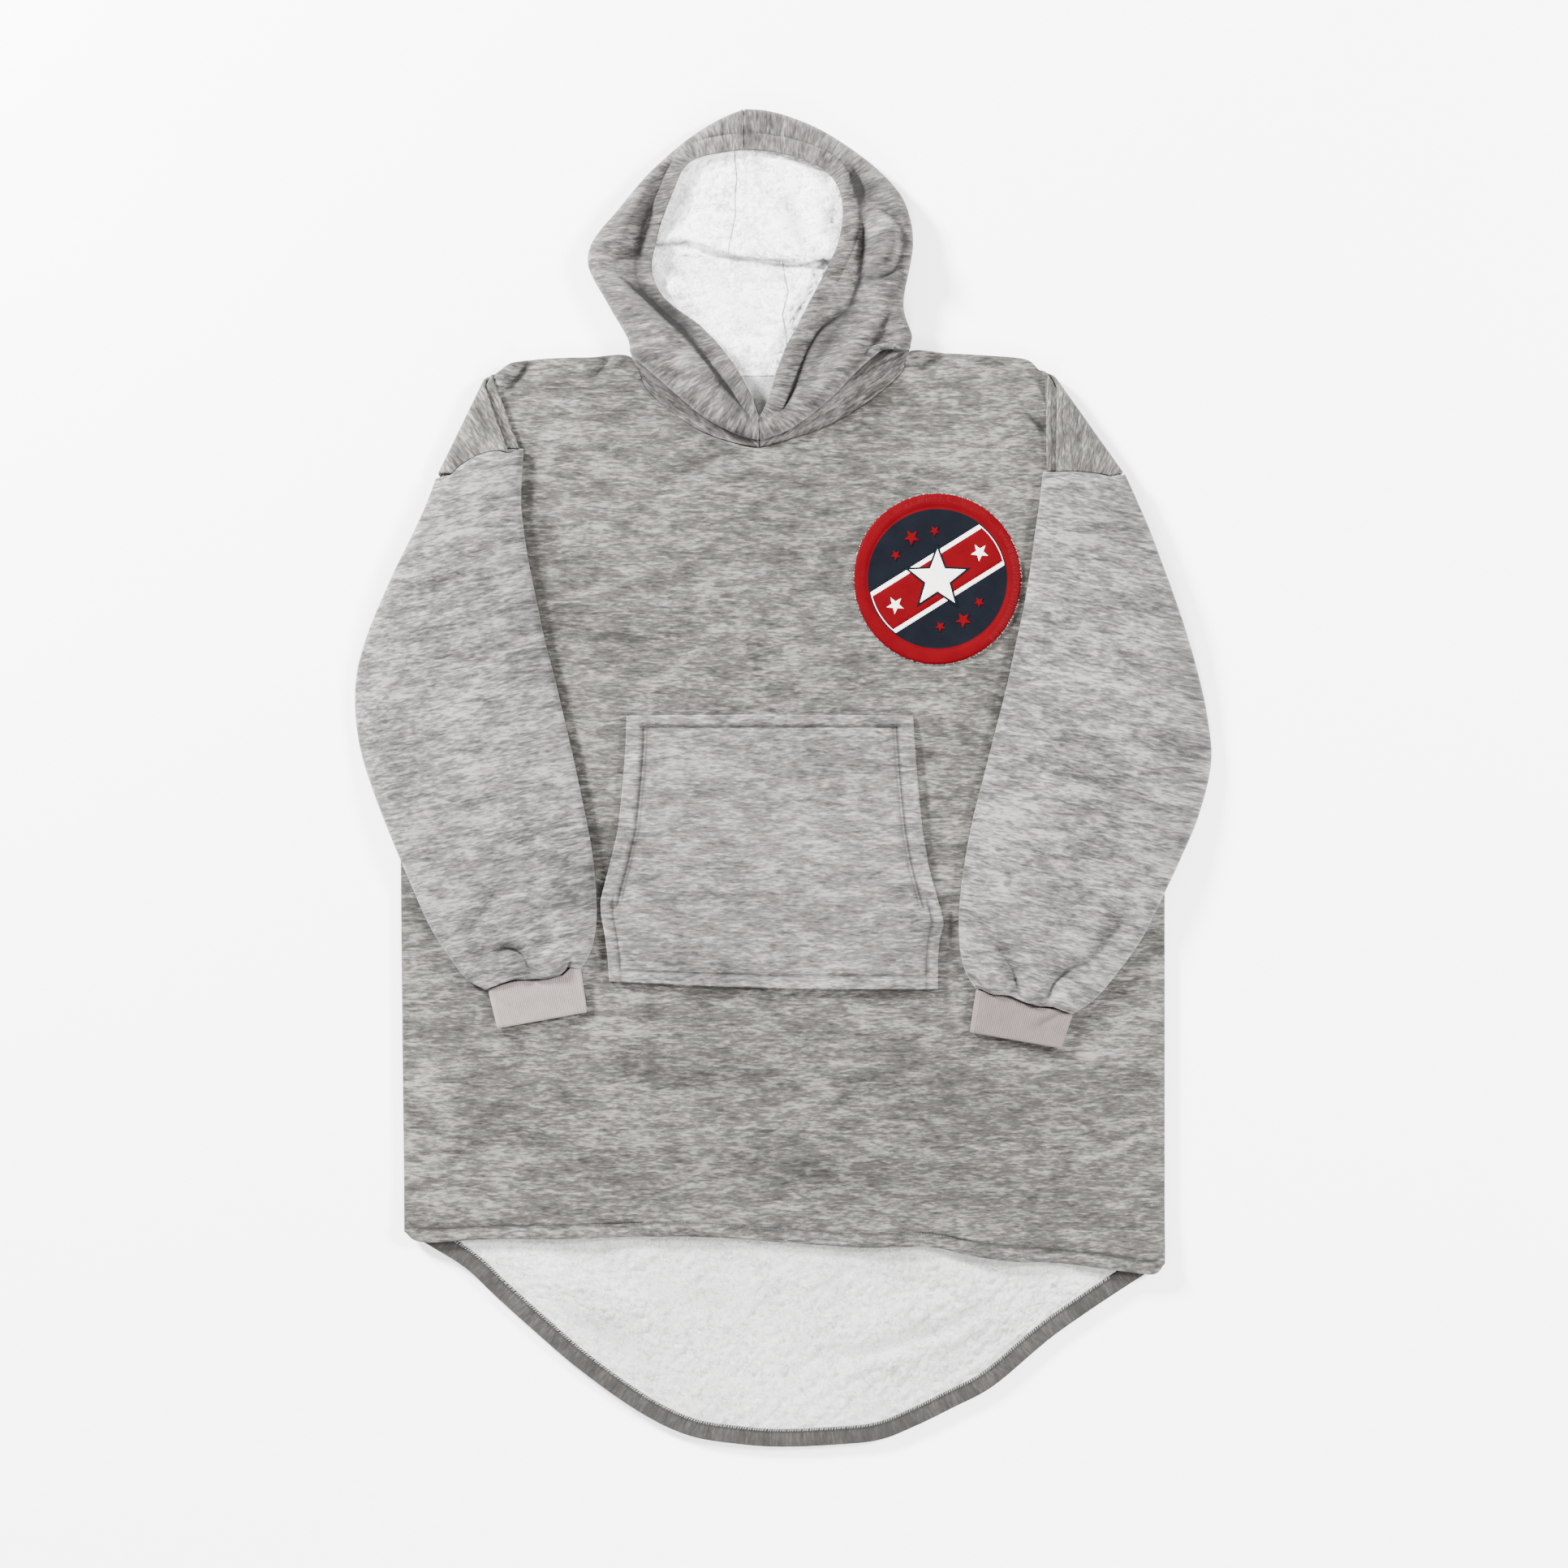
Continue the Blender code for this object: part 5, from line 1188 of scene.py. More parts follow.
def sleeve(side, skin):
    """A flattened tube from the armhole to the cuff, gathered at its end."""
    table = np.array(SLEEVES[side])
    columns = FLAP_ROWS + 2
    rows = []
    tops = []
    for index, (*ends, puff) in enumerate(table):
        inner, outer = np.array(ends).reshape(2, 2)
        span = np.linspace(0.0, 1.0, 40)
        line = inner + (outer - inner) * span[:, None]
        sunk = np.array([ground(*point) for point in line]) < FRONT_TOP - 0.01
        inside = span[np.argmax(sunk)] if sunk.any() else 1.0
        loop = tube_section(inner, outer, SLEEVE_WALL, SLEEVE_GAP, columns,
                            min(max(inside, 0.4), 0.86))
        left = (len(table) - 1 - index) * SLEEVE_ROW_LENGTH
        wave = GATHER_HEIGHT * math.exp(-left / GATHER_REACH)
        row = []
        for x, y, height, on_top, share in loop:
            base = ground(x, y) + CLEAR + SLEEVE_WALL / 2
            bulge = math.sin(math.pi * share)
            fold = wave * (1 + math.cos(2 * math.pi * GATHERS * share)) / 2 * bulge
            row.append((x, y, base + height + on_top * (puff * bulge ** 0.5 + fold)))
        rows.append(row)
        tops.append(loop[:, 3:5])
    grid = np.array(rows)
    grid[0] = armhole_loop(side, grid[0], columns)
    row_places = spread(grid, 0, SLEEVE_ROW_STEP, (0.0, 2.6), (0.0, 2.6, 4.4, 6.2))
    column_places = spread(grid, 1, SLEEVE_STEP, closed=True)
    fine = refine(np.concatenate([grid, tops], axis=2), row_places, column_places, closed=True)
    points = fine[..., :3]
    on_top, share = np.moveaxis(np.clip(fine[..., 3:], 0.0, 1.0), 2, 0)
    run = mean_run(points)[:, None]
    left = run[-1] - run
    cloth = turned_cloth(points, SLEEVE_GRAIN[side])
    # Creases and low swells on the upper wall only, and none at the seams
    seam_ends = ease((run + 4.0) / 20.0)
    lines = relief(points[..., :2], SLEEVE_CREASES[side]) * SLEEVE_RELIEF
    lift = lines + ripple(points[..., :2], 11 if side == "left" else 12, 120.0, 1.1)
    lift = np.maximum(lift + SLEEVE_PUFF * ease(left / 120.0 + 0.35), -SLEEVE_SINK)
    points[..., 2] += lift * on_top * np.sin(math.pi * share) ** 0.5 * seam_ends
    # Painted shade in the creases' troughs and painted light on their ridges, on the upper wall, and
    # the painted shade lines
    painted_lights = 1.0 + np.clip(lines * 0.032, -0.34, 0.1) * on_top * seam_ends
    painted_lights += painted_shade(points[..., :2], SLEEVE_SHADES[side])
    along = unit(np.array(CUFFS[side][2]) - np.array(CUFFS[side][0]))
    reach = np.interp(share, *np.array(SCALLOPS[side]).T) + CUFF_LAP[side]
    points[..., :2] += (reach * (1.0 - ease(left / SCALLOP_REACH)))[..., None] * along
    return grid_shell(f"sleeve_{side}_cloth", points, cloth, SLEEVE_WALL, skin, "round", True,
                      painted_light=painted_lights)


def cuff(side, skin):
    """A flattened rib-knit tube, its top edge following the sleeve's."""
    inner_top, outer_top, inner_end, outer_end = np.array(CUFFS[side])
    radius = (CUFF_WALL + CUFF_HOLLOW) / 2
    bend = math.pi * radius
    start = radius + CUFF_WALL / 2 + RIB_HEIGHT
    count = RIBS * RIB_SAMPLES
    length = np.linalg.norm(inner_end - inner_top)
    down = (inner_end - inner_top) / length
    marks = np.concatenate([[0.0, 1.6], np.linspace(3.2, length - 5.0, CUFF_ROWS),
                            [length - 3.4, length - 1.7, length]]) / length
    base = FRONT_TOP + CLEAR + CUFF_WALL / 2 + RIB_HEIGHT
    rows = []
    rises = []
    places = []
    for mark in marks:
        inner = inner_top + (inner_end - inner_top) * mark
        outer = outer_top + (outer_end - outer_top) * mark
        width = np.linalg.norm(outer - inner)
        straight = width - 2 * start
        total = 2 * (straight + bend)
        run = total * np.arange(count) / count
        # Out along the lower wall, round the outer edge, back above and round the inner edge
        stages = [run < straight, run < straight + bend, run < 2 * straight + bend]
        out = (run - straight) / radius
        back = (run - 2 * straight - bend) / radius
        place = np.select(stages, [start + run, start + straight + radius * np.sin(out),
                                   start + 2 * straight + bend - run],
                          start - radius * np.sin(back))
        height = np.select(stages, [0.0 * run, radius - radius * np.cos(out),
                                    0.0 * run + 2 * radius], radius + radius * np.cos(back))
        slide = np.interp(place / width, *np.array(SCALLOPS[side]).T) * (1.0 - ease(mark / 0.8))
        spot = inner + (outer - inner) / width * place[:, None] + slide[:, None] * down
        dent = relief(spot, CUFF_CREASES[side]) * height / (2 * radius)
        rows.append(np.column_stack([spot, base + height + np.maximum(dent, 0.5 - CUFF_HOLLOW)]))
        rib = np.abs(np.sin(math.pi * RIBS * run / total)) ** 0.7
        rises.append(RIB_HEIGHT * rib * (0.0 if mark in (0.0, 1.0) else 1.0))
        places.append(np.column_stack([np.full(count, mark * length), run]))
    return grid_shell(f"cuff_{side}_cloth", np.array(rows), np.array(places), CUFF_WALL, skin,
                      "round", True, rise=rises)


def hood(side, table, skin):
    """Half of the hood, from its seams up round the roll and back to the face opening."""
    rows = np.array(table)
    places = [*range(CORNER_ROW - 1), *np.arange(CORNER_ROW - 1, CORNER_ROW + 1, 0.5),
              *range(CORNER_ROW + 1, len(rows))]
    coarse = []
    for place in places:
        below = int(place)
        row = rows[below]
        if place != below:
            row = (row + rows[below + 1]) / 2
            row[2] = rows[below][2] if below < CORNER_ROW else rows[below + 1][2]
        coarse.append(hood_section(place, row))
    coarse = np.array(coarse)
    row_places = spread(coarse[:, 8:], 0, HOOD_STEP, (0.0, 2.6), (0.0, 2.6))
    column_places = spread(coarse, 1, HOOD_STEP, (0.0, 2.8), FACE_MARKS)
    points = refine(coarse, row_places, column_places)
    run = row_runs(points)
    from_face = run[:, -1:] - run
    along = run_along(points[:, len(column_places) * 3 // 4])
    cloth = np.stack([from_face, np.broadcast_to(along[:, None], from_face.shape)], axis=2)
    if side == "left":
        cloth[..., 1] *= -1.0
    on_strip = (column_places < HOOD_LOWER_COLUMNS + 1.0)[None, :, None]
    cloth = np.where(on_strip, turned_cloth(points, STRIP_GRAIN[side]), cloth)
    upper = ease((column_places - HOOD_LOWER_COLUMNS - 4.0) / 3.0)[None]
    lines = relief(points[..., :2], HOOD_CREASES[side]) * HOOD_RELIEF
    lift = lines + ripple(points[..., :2], 21 if side == "left" else 22, 70.0, 1.1)
    # The stitched line of the face hem is deep at the crown and faint at the chin
    stitch = bell(from_face - BAND_STITCH, 2.0) * (0.45 + 0.55 * ease((points[..., 1] - 520.0) / 120.0))
    lift -= HOOD_GROOVE * stitch
    ends = ease(np.minimum(along, along[-1] - along) / 25.0)[:, None]
    hem = ease(from_face / 14.0) * 0.7 + 0.3
    room = np.maximum(points[..., 2] - BACK_MID - WALL - HOOD_LINING_WALL - 1.5, 0.0)
    points[..., 2] += np.maximum(lift, -room * 0.8) * upper * ends * hem
    over = np.maximum(points[..., 2] - HOOD_SOFT_TOP, 0.0)
    points[..., 2] -= over - HOOD_SOFT_REACH * np.tanh(over / HOOD_SOFT_REACH)
    # Painted shade in the creases' troughs and the hem's stitch groove, and painted light on the ridges
    painted_lights = 1.0 + (np.clip(lines * 0.036, -0.48, 0.1) - 0.25 * stitch) * upper
    # The strip beside the neck is painted dark where it runs on under the roll: painted shadow of the
    # roll
    foot = int(np.searchsorted(column_places, HOOD_LOWER_COLUMNS))
    under = np.exp(-np.maximum(run[:, foot:foot + 1] - ROLL_TUCK - run, 0.0) / STRIP_REACH)
    under = under * (1.0 - ease((column_places - HOOD_LOWER_COLUMNS - 1.8) / 1.4))[None]
    front = ease((row_places - places.index(CORNER_ROW)) / 2.0)[:, None]
    painted_lights += painted_shade(points[..., :2], HOOD_SHADES[side]) * upper - STRIP_SHADE * under * front
    band = [[np.interp(BAND_STITCH, away[::-1], line[::-1, axis]) for axis in range(2)]
            for line, away in zip(points, from_face)]
    made = grid_shell(f"hood_{side}_cloth", points, cloth, HOOD_WALL, skin,
                      painted_light=np.maximum(painted_lights, 0.06))
    return made, np.array(band)[1:-1]


def hood_lining(side, skin):
    """The sherpa inside the hood, with its tuck and tufts."""
    sign = -1.0 if side == "left" else 1.0
    rows = []
    for y, centre, left, right, height in LINING_ROWS:
        if y == LINING_ROWS[-1][0]:
            y = NECK_SEAM_Y + SEAM
        inner = centre + sign * SEAM / 2
        outer = left if side == "left" else right
        x = inner + (outer - inner) * np.linspace(0.0, 1.0, LINING_STEPS)
        sag = (TUCK_Y - 3.0 - np.interp(x, *TUCK_LINE)) * bell(y - TUCK_Y, 26.0)
        rows.append(np.column_stack([x, y - sag, np.full(LINING_STEPS, LINING_LEVEL + height)]))
    coarse = np.array(rows)
    points = refine(coarse, spread(coarse, 0, LINING_STEP, (0.0, 1.8), (0.0, 1.8)),
                    spread(coarse, 1, LINING_STEP, (0.0, 1.8), (0.0, 1.8)))
    share = np.linspace(0.0, 1.0, points.shape[1])[None]
    points[..., 0] += np.interp(points[..., 1], *LINING_SEAM) * (1.0 - share)
    edge = ease(np.minimum(share, 1.0 - share) * 12.0)
    lines = relief(points[..., :2], LINING_CREASES) * LINING_RELIEF
    lift = lines + pile(points, 31) + 0.5
    across = points[..., :1] * (1.0, 0.0)
    above = points[..., 1] - np.interp(points[..., 0], *TUCK_LINE) - ripple(across, 37, 9.0, 0.5)
    tuck = bell(above, np.where(above < 0.0, 2.8, 1.3)) * (0.7 + 0.5 * ripple(across, 38, 26.0, 0.5))
    # Painted shade along the tuck and in the creases' troughs, and the painted shade lines
    painted_lights = 1.0 + np.clip(lines * 0.05, -0.2, 0.02) - 0.92 * np.clip(tuck, 0.0, 0.95)
    painted_lights += painted_shade(points[..., :2], LINING_SHADES)
    points[..., 2] = np.maximum(points[..., 2] + lift * edge, LINING_LEVEL)
    return grid_shell(f"hood_lining_{side}_cloth", points, points[..., :2], HOOD_LINING_WALL, skin,
                      painted_light=painted_lights)


def neck_lining(skin):
    """The inside of the back's neck, which shows at the foot of the face opening. Its sherpa is painted
    darker than the hood's: painted shade deep inside the neck.
    """
    xs = np.linspace(-78.0, 40.0, 46)
    ys = np.linspace(372.0, NECK_SEAM_Y, 22)
    grid = np.stack(np.meshgrid(xs, ys), axis=2)
    lift = np.maximum(0.5 * pile(grid, 36) + 0.5, 0.0)
    return grid_shell("neck_lining", at_height(grid, LINING_LEVEL + lift), grid, HOOD_LINING_WALL,
                      skin)


def tail_lines():
    """The tail's edge, and the way inwards from each of its points."""
    edge = curve(TAIL_EDGE, 240)
    return edge, left_of(np.gradient(edge, axis=0))


def tail_band(skin):
    """The outer cloth that is turned over the tail's edge, slightly puffed."""
    edge = tail_lines()[0]
    kept = (edge[:, 0] > TAIL_EDGE[0][0] + 9.0) & (edge[:, 0] < TAIL_EDGE[-1][0] - 9.0)
    edge = curve(edge[kept], 420)
    inward = left_of(np.gradient(edge, axis=0))
    marks = np.array(BAND_MARKS)
    grid = edge[:, None] + inward[:, None] * marks[None, :, None]
    along = run_along(edge)
    puff = 0.6 * np.sin(np.pi * (marks - marks[0]) / (marks[-1] - marks[0]))[None]
    waves = 0.35 * (1.0 + np.sin(along / 9.0) * np.sin(along / 23.0 + 1.0))[:, None]
    ends = ease(np.minimum(along, along[-1] - along) / 30.0 - 0.6)[:, None]
    heights = WALL + TAIL_LAYER + BAND_WALL / 2 + puff * (1.0 + waves) * ends
    cloth = np.stack(np.broadcast_arrays(marks[None], along[:, None]), axis=2)
    return grid_shell("back_hem_band_cloth", at_height(grid, heights), cloth, BAND_WALL, skin)


def tail_lining(skin):
    """The sherpa that shows on the tail, running on under the front's hem."""
    edge, inward = tail_lines()
    inner_line = edge + inward * (BAND_WIDTH + SEAM)
    left, right = TAIL_EDGE[1][0] + 14.0, TAIL_EDGE[-2][0] - 16.0
    xs = np.linspace(left, right, int((right - left) / TAIL_STEP))
    hem = edge_at(FRONT_HEM, xs)
    low = np.interp(xs, inner_line[:, 0], inner_line[:, 1])
    high = np.maximum(hem + HEM_LAP, low + 4.0)
    deep = (high - low).max()
    share = np.concatenate([[0.0, 1.8 / deep],
                            np.linspace(3.6 / deep, 1.0, int(deep / TAIL_STEP))])
    ys = low + (high - low) * share[:, None]
    grid = np.stack([np.broadcast_to(xs, ys.shape), ys], axis=2)
    lines = relief(grid, TAIL_CREASES) * TAIL_RELIEF
    lift = (pile(grid, 41) + 0.7 + lines + TAIL_PUFF) * ease((hem - 6.0 - ys) / 16.0)
    heights = (WALL + TAIL_LAYER + LINING_WALL / 2
               + np.maximum(lift, 0.0) * (0.35 + 0.65 * ease((ys - low) / 8.0)))
    # Painted shade in the creases' troughs and painted light on their ridges, and the painted shade
    # lines
    painted_lights = 1.0 + np.clip(lines * 0.05, -0.22, 0.04) + painted_shade(grid, TAIL_SHADES)
    return grid_shell("back_lining_cloth", at_height(grid, heights), grid, LINING_WALL, skin,
                      painted_light=painted_lights)


def pocket(skin):
    """The pocket with its stitched hems."""
    table = np.array(POCKET)
    height = table[0, 2] - table[-1, 2]
    ends = np.array(POCKET_END_MARKS)
    marks = np.array(POCKET_SIDE_MARKS)
    rows_down = np.concatenate([ends[:-1], np.linspace(ends[-1], height - ends[-1],
                                                       int((height - 35.0) / POCKET_STEP)),
                                height - ends[:-1][::-1]])
    depth = table[0, 2] - table[:, 2]
    fine_depth = np.linspace(0.0, height, 200)
    places = np.interp(fine_depth, depth, np.arange(len(depth)))
    smooth = np.array([np.interp(fine_depth, depth, column) for column in table.T]).T
    smooth[:, :2] = spline(table, places)[:, :2] * 0.5 + smooth[:, :2] * 0.5
    rows = []
    lifts = []
    painted_lights = []
    for mark in rows_down:
        left, right, y_left, y_right = [np.interp(mark, fine_depth, column)
                                        for column in smooth.T]
        width = right - left
        run = np.concatenate([marks[:-1], np.linspace(marks[-1], width - marks[-1], 96),
                              width - marks[:-1][::-1]])
        share = run / width
        bow = np.sin(math.pi * share)
        y = y_left + (y_right - y_left) * share - POCKET_SAG * (mark / height) ** 6 * bow
        y += POCKET_TOP_BOW * bow * (1.0 - mark / height) ** 4
        from_side = np.minimum(run, width - run)
        from_end = min(mark, height - mark)
        # Wide hems at the hand openings, narrow ones below them and along both ends
        slanted = ease((mark - 4.0) / 8.0) * ease((height * 0.72 - mark) / 8.0)
        lower = ease((mark - height * 0.66) / 8.0)
        wide = 1.0 - ease((from_side - 15.5) / 2.6)
        narrow = 1.0 - ease((from_side - 9.8) / 2.4)
        hem = np.maximum(wide * slanted + narrow * lower, 1.0 - ease((from_end - 9.8) / 2.4))
        stitch = bell(from_side - POCKET_WIDE_STITCH, 1.6) * slanted
        stitch += bell(from_side - 22.4, 1.7) * slanted * 0.8
        stitch += bell(from_side - POCKET_STITCH, 1.7) * lower
        stitch += bell(from_end - POCKET_STITCH, 1.7) * (from_side > 12.0)
        stitch = np.minimum(stitch, 1.0)
        rows.append(np.column_stack([left + run, y]))
        lifts.append(POCKET_HEM_SHOWN * hem - 1.5 * stitch)
        # Painted light on the raised hems and painted shade in the stitch grooves
        painted_lights.append(1.0 + 0.16 * hem - 0.55 * stitch)
    flat = np.array(rows)
    from_top = np.minimum(np.arange(len(rows_down)) / 3, 1.0)[:, None]
    wave = np.maximum((ripple(flat, 51, 60.0, 0.35) + 0.4) * from_top, 0.0)
    points = at_height(flat, FRONT_TOP + POCKET_GAP + POCKET_WALL / 2 + swell(flat))
    return grid_shell("pocket_cloth", points, flat, POCKET_WALL, skin, rise=lifts + wave, painted_light=painted_lights)


def patch(skin):
    """A round applique: felt inside, and threads lying across its raised rim."""
    around = 300
    rim_start = 1.0 - PATCH_RIM_WIDTH / PATCH_RADII[0]
    shares = np.concatenate([np.linspace(0.04, rim_start - 0.012, 22),
                             np.linspace(rim_start, 1.0, 11)])
    angles = math.tau * np.arange(around) / around
    jag = 1.0 + 0.0035 * np.sin(angles * 150.0) + 0.004 * np.sin(3 * angles + 1.0)
    ray = np.column_stack([np.cos(angles), np.sin(angles)])
    rows = []
    lifts = []
    for share in shares:
        stretch = share * (jag[:, None] if share > 0.97 else 1.0)
        on_rim = (share - rim_start) / (1.0 - rim_start)
        round_rim = max(math.sin(math.pi * min(max(on_rim, 0.0), 1.0)), 0.0) ** 0.5
        thread = 0.16 * np.sin(angles * 150.0) * (1.0 if on_rim > 0.35 else 0.0)
        rows.append(ray * PATCH_RADII * stretch)
        lifts.append(round_rim * (PATCH_RIM_RISE + thread))
    cloth = np.array([rows[0] * 0.02, *rows])
    flat = cloth + PATCH_CENTRE
    points = at_height(flat, PATCH_TOP - PATCH_WALL / 2 + swell(flat))
    return grid_shell("patch_cloth", points, cloth, PATCH_WALL, skin, closed=True,
                      rise=[lifts[0], *lifts])


def star(centre, radius, turn):
    """Outline of a five-pointed star."""
    corners = []
    for number in range(10):
        size = radius if number % 2 == 0 else radius * 0.42
        angle = turn + math.pi * number / 5 + math.pi / 2
        corners.append((centre[0] + size * math.cos(angle), centre[1] + size * math.sin(angle)))
    return np.array(corners)


def inlay(name, outline, base, height, skin):
    """A flat felt shape with a softened edge, laid on the patch."""
    pieces = []
    for start, end in zip(outline, np.roll(outline, -1, axis=0)):
        steps = max(int(np.linalg.norm(end - start) / 2.0), 1)
        pieces.append(start + (end - start) * np.linspace(0.0, 1.0, steps, endpoint=False)[:, None])
    line = np.vstack(pieces)
    centre = line.mean(axis=0)
    inward = left_of(np.roll(line, -1, axis=0) - np.roll(line, 1, axis=0))
    last = line + inward * 0.35
    rings = [(line, 0.0), (line, height * 0.7), (last, height)]
    rings += [(centre + (last - centre) * share, height) for share in (0.75, 0.5, 0.25, 0.02)]
    points = np.vstack([np.column_stack([ring, np.full(len(line), up)]) for ring, up in rings])
    points[:, 2] += base + swell(points[:, :2])
    faces = to_grid(len(rings), len(line), closed=True)
    if point_normals(points, faces)[-1, 2] < 0.0:
        faces = faces[:, ::-1]
    return build(name, points, faces, points[:, :2] - PATCH_CENTRE, skin)


def threads(name, starts, ends, ups, radius, skin):
    """Short stitches from their starts to their ends, as one piece."""
    count = len(starts)
    run = unit(ends - starts)
    side = unit(np.cross(run, ups))
    top = np.cross(side, run)
    around = 6
    points = np.zeros((count, len(THREAD_SPANS), around, 3))
    for row, (share, size, up) in enumerate(THREAD_SPANS):
        centre = starts + (ends - starts) * share + top * up * radius
        for column in range(around):
            angle = math.tau * column / around
            points[:, row, column] = (centre + side * math.cos(angle) * radius * size
                                      + top * math.sin(angle) * radius * size)
    one = to_grid(len(THREAD_SPANS), around, closed=True)
    size = len(THREAD_SPANS) * around
    faces = (one[None] + (np.arange(count) * size)[:, None, None]).reshape(-1, 4)
    cloth = np.tile(np.column_stack([np.arange(size) * 0.3, np.arange(size) * 0.1]), (count, 1))
    return build(name, points.reshape(-1, 3), faces, cloth, skin)


def seam(name, path, pitch, share, radius, skin, slant=0.0, seed=1):
    """Stitches along a path; slant turns them across it."""
    count = int(run_along(path)[-1] / pitch)
    dice = np.random.default_rng(seed)
    marks = (np.arange(count) + 0.5) * pitch + dice.uniform(-0.15, 0.15, count) * pitch
    centres = along_path(path, marks)
    along = unit(along_path(path, marks + 0.5) - along_path(path, marks - 0.5))
    up = np.tile([0.0, 0.0, 1.0], (count, 1))
    across = np.cross(up, along)
    lean = slant + dice.uniform(-0.15, 0.15, count)
    half = (along * np.cos(lean)[:, None] + across * np.sin(lean)[:, None]) * pitch * share / 2
    return threads(name, centres - half, centres + half, up, radius, skin)


def surface_path(made, line, lift):
    """A line of the cloth's plane, laid on top of a piece."""
    tree = bvh(made)
    found = []
    for x, y in line:
        hit = tree.ray_cast(Vector((x * MM, y * MM, 0.2)), Vector((0.0, 0.0, -1.0)))
        height = hit[0][2] / MM if hit[0] else 10.0
        found.append((x, y, height + lift))
    return np.array(found)


def bvh(made):
    """A piece's surface, for casting rays."""
    return BVHTree.FromPolygons([vertex.co[:] for vertex in made.data.vertices],
                                [tuple(face.vertices) for face in made.data.polygons])


def add_node(tree, kind, **values):
    """A shader node with its inputs and settings."""
    made = tree.nodes.new(kind)
    for key, value in values.items():
        if key in made.inputs:
            made.inputs[key].default_value = value
        else:
            setattr(made, key, value)
    return made


def noise(tree, source, stretch, detail=2.0, rough=0.5, warp=0.0):
    """Noise whose grains are stretched along the cloth, as a number round a half."""
    scaled = add_node(tree, "ShaderNodeVectorMath", operation="MULTIPLY")
    tree.links.new(source, scaled.inputs[0])
    scaled.inputs[1].default_value = stretch
    made = add_node(tree, "ShaderNodeTexNoise", Scale=1.0, Detail=detail, Roughness=rough,
                    Distortion=warp)
    tree.links.new(scaled.outputs[0], made.inputs["Vector"])
    return made.outputs["Fac"]


def combine(tree, operation, one, two):
    """Two numbers, or outputs that carry one, put together."""
    made = add_node(tree, "ShaderNodeMath", operation=operation)
    for number, value in enumerate((one, two)):
        if isinstance(value, (int, float)):
            made.inputs[number].default_value = value
        else:
            tree.links.new(value, made.inputs[number])
    return made.outputs[0]


def weighted(tree, parts):
    """A half plus each part's distance from a half times its weight."""
    total = 0.5
    for part, weight in parts:
        off = combine(tree, "SUBTRACT", part, 0.5)
        total = combine(tree, "ADD", combine(tree, "MULTIPLY", off, weight), total)
    return total


def ramp(tree, source, stops):
    """Colours at these places of a value, and blends between them."""
    made = add_node(tree, "ShaderNodeValToRGB")
    tree.links.new(source, made.inputs[0])
    elements = made.color_ramp.elements
    while len(elements) < len(stops):
        elements.new(0.5)
    for element, (place, colour) in zip(elements, stops):
        element.position = place
        element.color = (*colour, 1.0)
    return made.outputs["Color"]


def new_skin(name, roughness, sheen, gloss=0.2):
    """A finish with the shader's plain settings."""
    made = bpy.data.materials.new(name)
    made.use_nodes = True
    tree = made.node_tree
    shader = tree.nodes["Principled BSDF"]
    shader.inputs["Roughness"].default_value = roughness
    shader.inputs["Sheen Weight"].default_value = sheen
    shader.inputs["Sheen Roughness"].default_value = 0.5
    shader.inputs["Specular IOR Level"].default_value = gloss
    return made, tree, shader


def with_painted_light(tree, shader, colour):
    """Base colour times the piece's painted light and shade."""
    painted_light = add_node(tree, "ShaderNodeAttribute", attribute_name="painted_light").outputs["Fac"]
    scaled = add_node(tree, "ShaderNodeVectorMath", operation="SCALE")
    tree.links.new(colour, scaled.inputs[0])
    tree.links.new(painted_light, scaled.inputs["Scale"])
    tree.links.new(scaled.outputs[0], shader.inputs["Base Color"])


def bump(tree, shader, source, strength, distance):
    """Small dents in a finish, in metres."""
    made = add_node(tree, "ShaderNodeBump", Strength=strength, Distance=distance)
    tree.links.new(source, made.inputs["Height"])
    tree.links.new(made.outputs["Normal"], shader.inputs["Normal"])


def grain_source(tree, on_cloth):
    """Where a finish takes its places from: the cloth's own map, or the object."""
    if on_cloth:
        return add_node(tree, "ShaderNodeUVMap", uv_map="cloth").outputs["UV"]
    return add_node(tree, "ShaderNodeTexCoord").outputs["Object"]


def mixed_colour(tree, factor, one, two, blend="MIX"):
    """One colour over another."""
    mixed = add_node(tree, "ShaderNodeMix", data_type="RGBA", blend_type=blend)
    if isinstance(factor, float):
        mixed.inputs[0].default_value = factor
    else:
        tree.links.new(factor, mixed.inputs[0])
    tree.links.new(one, mixed.inputs[6])
    tree.links.new(two, mixed.inputs[7])
    return mixed.outputs[2]


def grained_skin(name, surface, on_cloth, grains, mix, stops, dents=None, takes_painted_light=False):
    """A finish whose colour and bumps come from a few noises.

    surface is roughness, sheen and gloss, mix holds the weight of each grain in the colour, and
    dents are their weights in the bumps, with the bumps' strength and depth. The last flag multiplies
    the colour by the piece's painted light and shade.
    """
    made, tree, shader = new_skin(name, *surface)
    source = grain_source(tree, on_cloth)
    found = [noise(tree, source, *grain) for grain in grains]
    colour = ramp(tree, weighted(tree, zip(found, mix)), stops)
    if takes_painted_light:
        with_painted_light(tree, shader, colour)
    else:
        tree.links.new(colour, shader.inputs["Base Color"])
    if dents:
        weights, strength, depth = dents
        bump(tree, shader, weighted(tree, zip(found, weights)), strength, depth)
    return made


